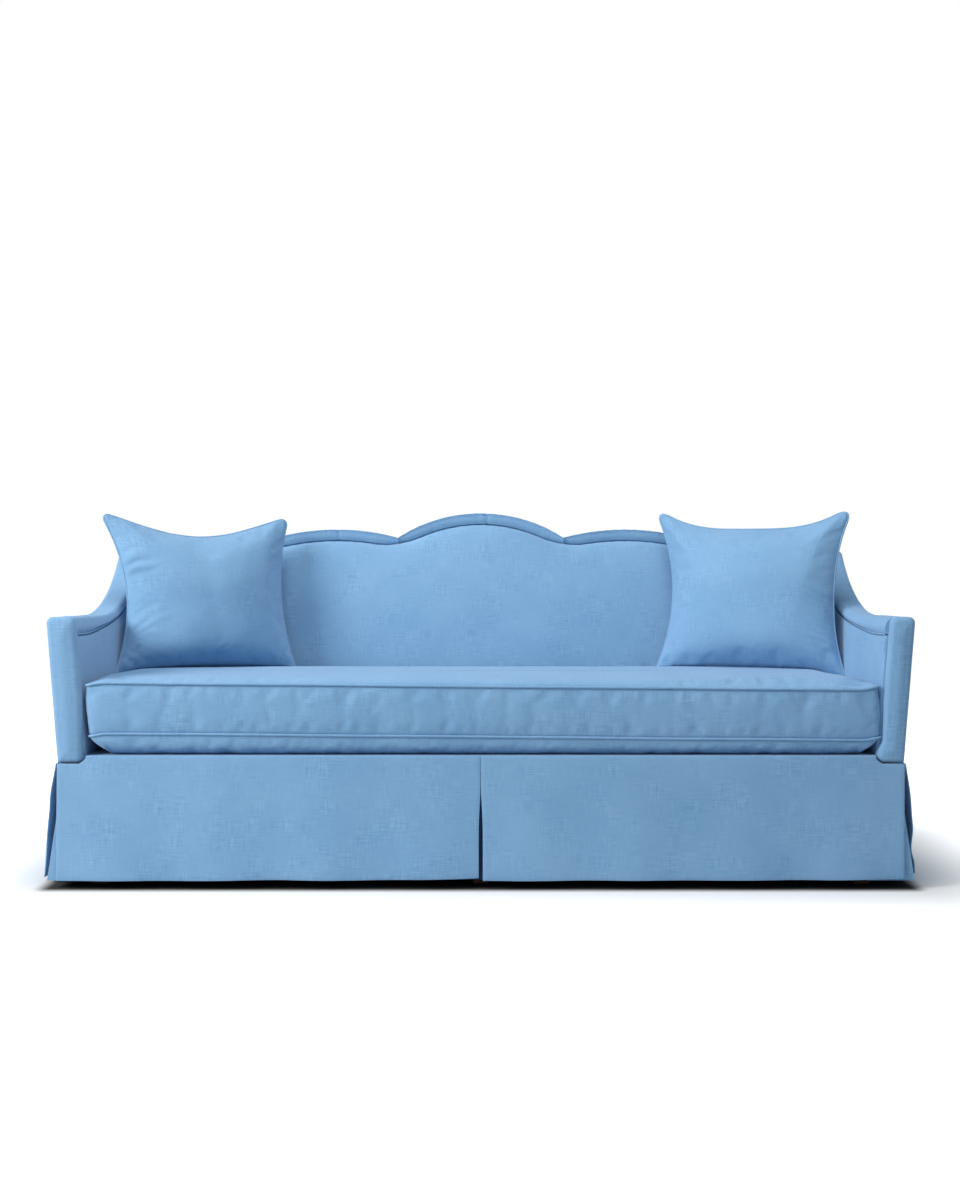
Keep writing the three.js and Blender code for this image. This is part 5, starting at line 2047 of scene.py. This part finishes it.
@dataclass(frozen=True)
class Studio:
    """The floor, backdrop, lamps and camera."""

    focal_pixels: float = 1360.0
    image_height: float = 1200.0
    horizon_row: float = 590.2
    camera_distance: float = 3.39
    camera_height: float = 0.742
    camera_x: float = -0.002
    world_light: float = 0.275
    world_tint: tuple[float, float, float] = (0.76, 0.93, 1.08)
    lamp_tint: tuple[float, float, float] = (1.0, 0.98, 0.95)
    floor_size: float = 60.0
    floor_place: tuple[float, float, float] = (0.0, 20.0, -0.5 * MM)
    # The floor's colour under the sofa, a painted shadow.
    floor_dark: tuple[float, ...] = (0.07, 0.07, 0.072, 1)
    floor_light: tuple[float, ...] = (0.76, 0.76, 0.765, 1)
    floor_roughness: float = 0.95
    floor_glow: float = 0.85
    shadow_middle: tuple[float, float] = (0.0, -0.065)
    shadow_half: tuple[float, float] = (1.07, 0.36)
    shadow_fade: float = 0.5
    # How far the painted shadow under the sofa fades out.
    dark_fade: float = 0.05
    lamps: tuple[tuple[str, tuple[float, float, float], float, float], ...] = (
        ("key_lamp", (-4.4, -2.3, 2.7), 246.0, 2.0),
        ("fill_lamp", (2.8, -3.4, 1.8), 4.0, 2.4),
        ("top_lamp", (0.0, -1.0, 3.8), 88.0, 2.4),
    )
    lamp_aim: tuple[float, float, float] = (0.0, 0.0, 0.5)

    def build_camera(self) -> None:
        """The camera at the photograph's place."""
        data = bpy.data.cameras.new("camera")
        data.sensor_fit = "AUTO"
        data.sensor_width = 36
        data.lens = data.sensor_width * self.focal_pixels / self.image_height
        data.shift_y = (self.horizon_row - self.image_height / 2) / self.image_height
        camera = bpy.data.objects.new("camera", data)
        bpy.context.collection.objects.link(camera)
        camera.location = (self.camera_x, PLAN.front - self.camera_distance, self.camera_height)
        camera.rotation_euler = (math.pi / 2, 0, 0)
        bpy.context.scene.camera = camera

    def build_world(self) -> None:
        """A white background that lights the sofa less than it shows."""
        world = bpy.data.worlds.new("studio")
        bpy.context.scene.world = world
        world.use_nodes = True
        make = NodeMaker(world.node_tree)
        backdrop = world.node_tree.nodes["Background"]
        set_inputs(backdrop, Color=(1, 1, 1, 1))
        light = make.add("ShaderNodeBackground", Color=(*self.world_tint, 1), Strength=self.world_light)
        shown = make.add("ShaderNodeMixShader")
        make.link(self.seen_directly(make), shown.inputs["Fac"])
        make.link(light.outputs[0], shown.inputs[1])
        make.link(backdrop.outputs[0], shown.inputs[2])
        make.link(shown.outputs[0], world.node_tree.nodes["World Output"].inputs["Surface"])

    @staticmethod
    def seen_directly(make: NodeMaker) -> bpy.types.NodeSocket:
        """1 for rays from the camera, a mirror or glass, and 0 for the rest."""
        path = make.add("ShaderNodeLightPath")
        mirrored = make.math("MAXIMUM", path.outputs["Is Glossy Ray"], path.outputs["Is Transmission Ray"])
        return make.math("MAXIMUM", path.outputs["Is Camera Ray"], mirrored)

    def build_floor(self) -> None:
        """A pale floor that keeps the sofa's shadow, with a painted shadow: its colour is near black under
        the sofa.
        """
        deselect()
        bpy.ops.mesh.primitive_plane_add(size=self.floor_size, location=self.floor_place)
        floor = bpy.context.object
        settle(floor)
        floor.name = "floor"
        material, make, shader = start_material("floor")
        away = self.away_from_sofa(make, self.shadow_fade)
        # Painted shadow: the floor's colour runs from near black under the sofa to pale away from it.
        tint = make.add("ShaderNodeMix", data_type="RGBA")
        tint.inputs[6].default_value = self.floor_dark
        tint.inputs[7].default_value = self.floor_light
        make.link(self.away_from_sofa(make, self.dark_fade), tint.inputs[0])
        make.link(tint.outputs[2], shader.inputs["Base Color"])
        white = (1, 1, 1, 1)
        set_inputs(shader, Roughness=self.floor_roughness, Specular_IOR_Level=0.0, Emission_Color=white)
        glow = make.math("MULTIPLY", away, self.floor_glow)
        make.link(make.math("MULTIPLY", self.seen_directly(make), glow), shader.inputs["Emission Strength"])
        floor.data.materials.append(material)

    def away_from_sofa(self, make: NodeMaker, fade_run: float) -> bpy.types.NodeSocket:
        """A share that grows away from the sofa: it keeps the sofa's shadow on a white floor and fades out
        the floor's painted shadow.

        Args:
            make: The floor's node maker.
            fade_run: How far from the sofa the share reaches 1.

        Returns:
            The share, which is 0 under the sofa.
        """
        split = make.add("ShaderNodeSeparateXYZ")
        make.link(make.add("ShaderNodeTexCoord").outputs["Object"], split.inputs[0])
        sums = []
        for axis, middle, half in zip("XY", self.shadow_middle, self.shadow_half):
            offset = make.math("SUBTRACT", split.outputs[axis], middle)
            outside = make.math("SUBTRACT", make.math("ABSOLUTE", offset, 0.0), half)
            outside = make.math("MAXIMUM", outside, 0.0)
            sums.append(make.math("MULTIPLY", outside, outside))
        distance = make.math("SQRT", make.math("ADD", *sums), 0.0)
        fade = make.add("ShaderNodeMapRange", interpolation_type="SMOOTHSTEP")
        make.link(distance, fade.inputs["Value"])
        fade.inputs["From Max"].default_value = fade_run
        return fade.outputs["Result"]

    def build_lamp(self, name: str, place: Vector, power: float, size: float) -> None:
        """A soft square lamp that looks at the sofa.

        Args:
            name: The lamp's name.
            place: Where it hangs.
            power: Its power in watts.
            size: The length of its side.
        """
        data = bpy.data.lights.new(name, "AREA")
        data.color = self.lamp_tint
        data.energy = power
        data.size = size
        lamp = bpy.data.objects.new(name, data)
        bpy.context.collection.objects.link(lamp)
        lamp.location = place
        aim = Vector(self.lamp_aim) - place
        lamp.rotation_euler = aim.to_track_quat("-Z", "Y").to_euler()

    def build(self) -> None:
        """Builds the whole studio."""
        scene = bpy.context.scene
        scene.view_settings.view_transform = "Standard"
        self.build_camera()
        self.build_world()
        self.build_floor()
        for name, place, power, size in self.lamps:
            self.build_lamp(name, Vector(place), power, size)


PILLOWS = (
    ThrowPillow(
        Side.LEFT,
        x=-792 * MM,
        depth=524 * MM,
        foot_rise=8.9 * MM,
        yaw=math.radians(26),
        corner_shifts=((-24 * MM, 14 * MM), (8 * MM, 11 * MM), (-8 * MM, -2 * MM), (-11 * MM, -4 * MM)),
        rims=(Rim(54 * MM), Rim(34 * MM), Rim(8 * MM), Rim(65 * MM, 1.9, 1.35)),
        ear_round=28 * MM,
        puckers=(
            Pucker(Side.LEFT, 0.66),
            Pucker(Side.LEFT, 0.3),
            Pucker(Side.LEFT, 0.08, 6 * MM, slant=-0.5),
        ),
    ),
    ThrowPillow(
        Side.RIGHT,
        x=777 * MM,
        depth=524 * MM,
        foot_rise=10.7 * MM,
        yaw=math.radians(-24),
        corner_shifts=((-47 * MM, 39 * MM), (17 * MM, 32 * MM), (-2 * MM, -4 * MM), (14 * MM, -6 * MM)),
        rims=(Rim(52 * MM), Rim(40 * MM, 2.3), Rim(8 * MM), Rim(62 * MM, 3.5, 1.3)),
        ear_round=45 * MM,
        puckers=(Pucker(Side.RIGHT, 0.5, 6 * MM), Pucker(Side.RIGHT, 0.2, 6 * MM)),
    ),
)


def main() -> None:
    """Builds the sofa's looks in order."""
    logging.basicConfig(level=logging.INFO, format="%(message)s")
    Studio().build()
    HiddenFrame().build()
    for side in Side:
        Arm(side).build()
    Back().build()
    Deck().build()
    Skirt().build()
    cushion = BenchCushion().build()
    for pillow in PILLOWS:
        pillow.build(cushion)


if __name__ == "__main__":
    main()
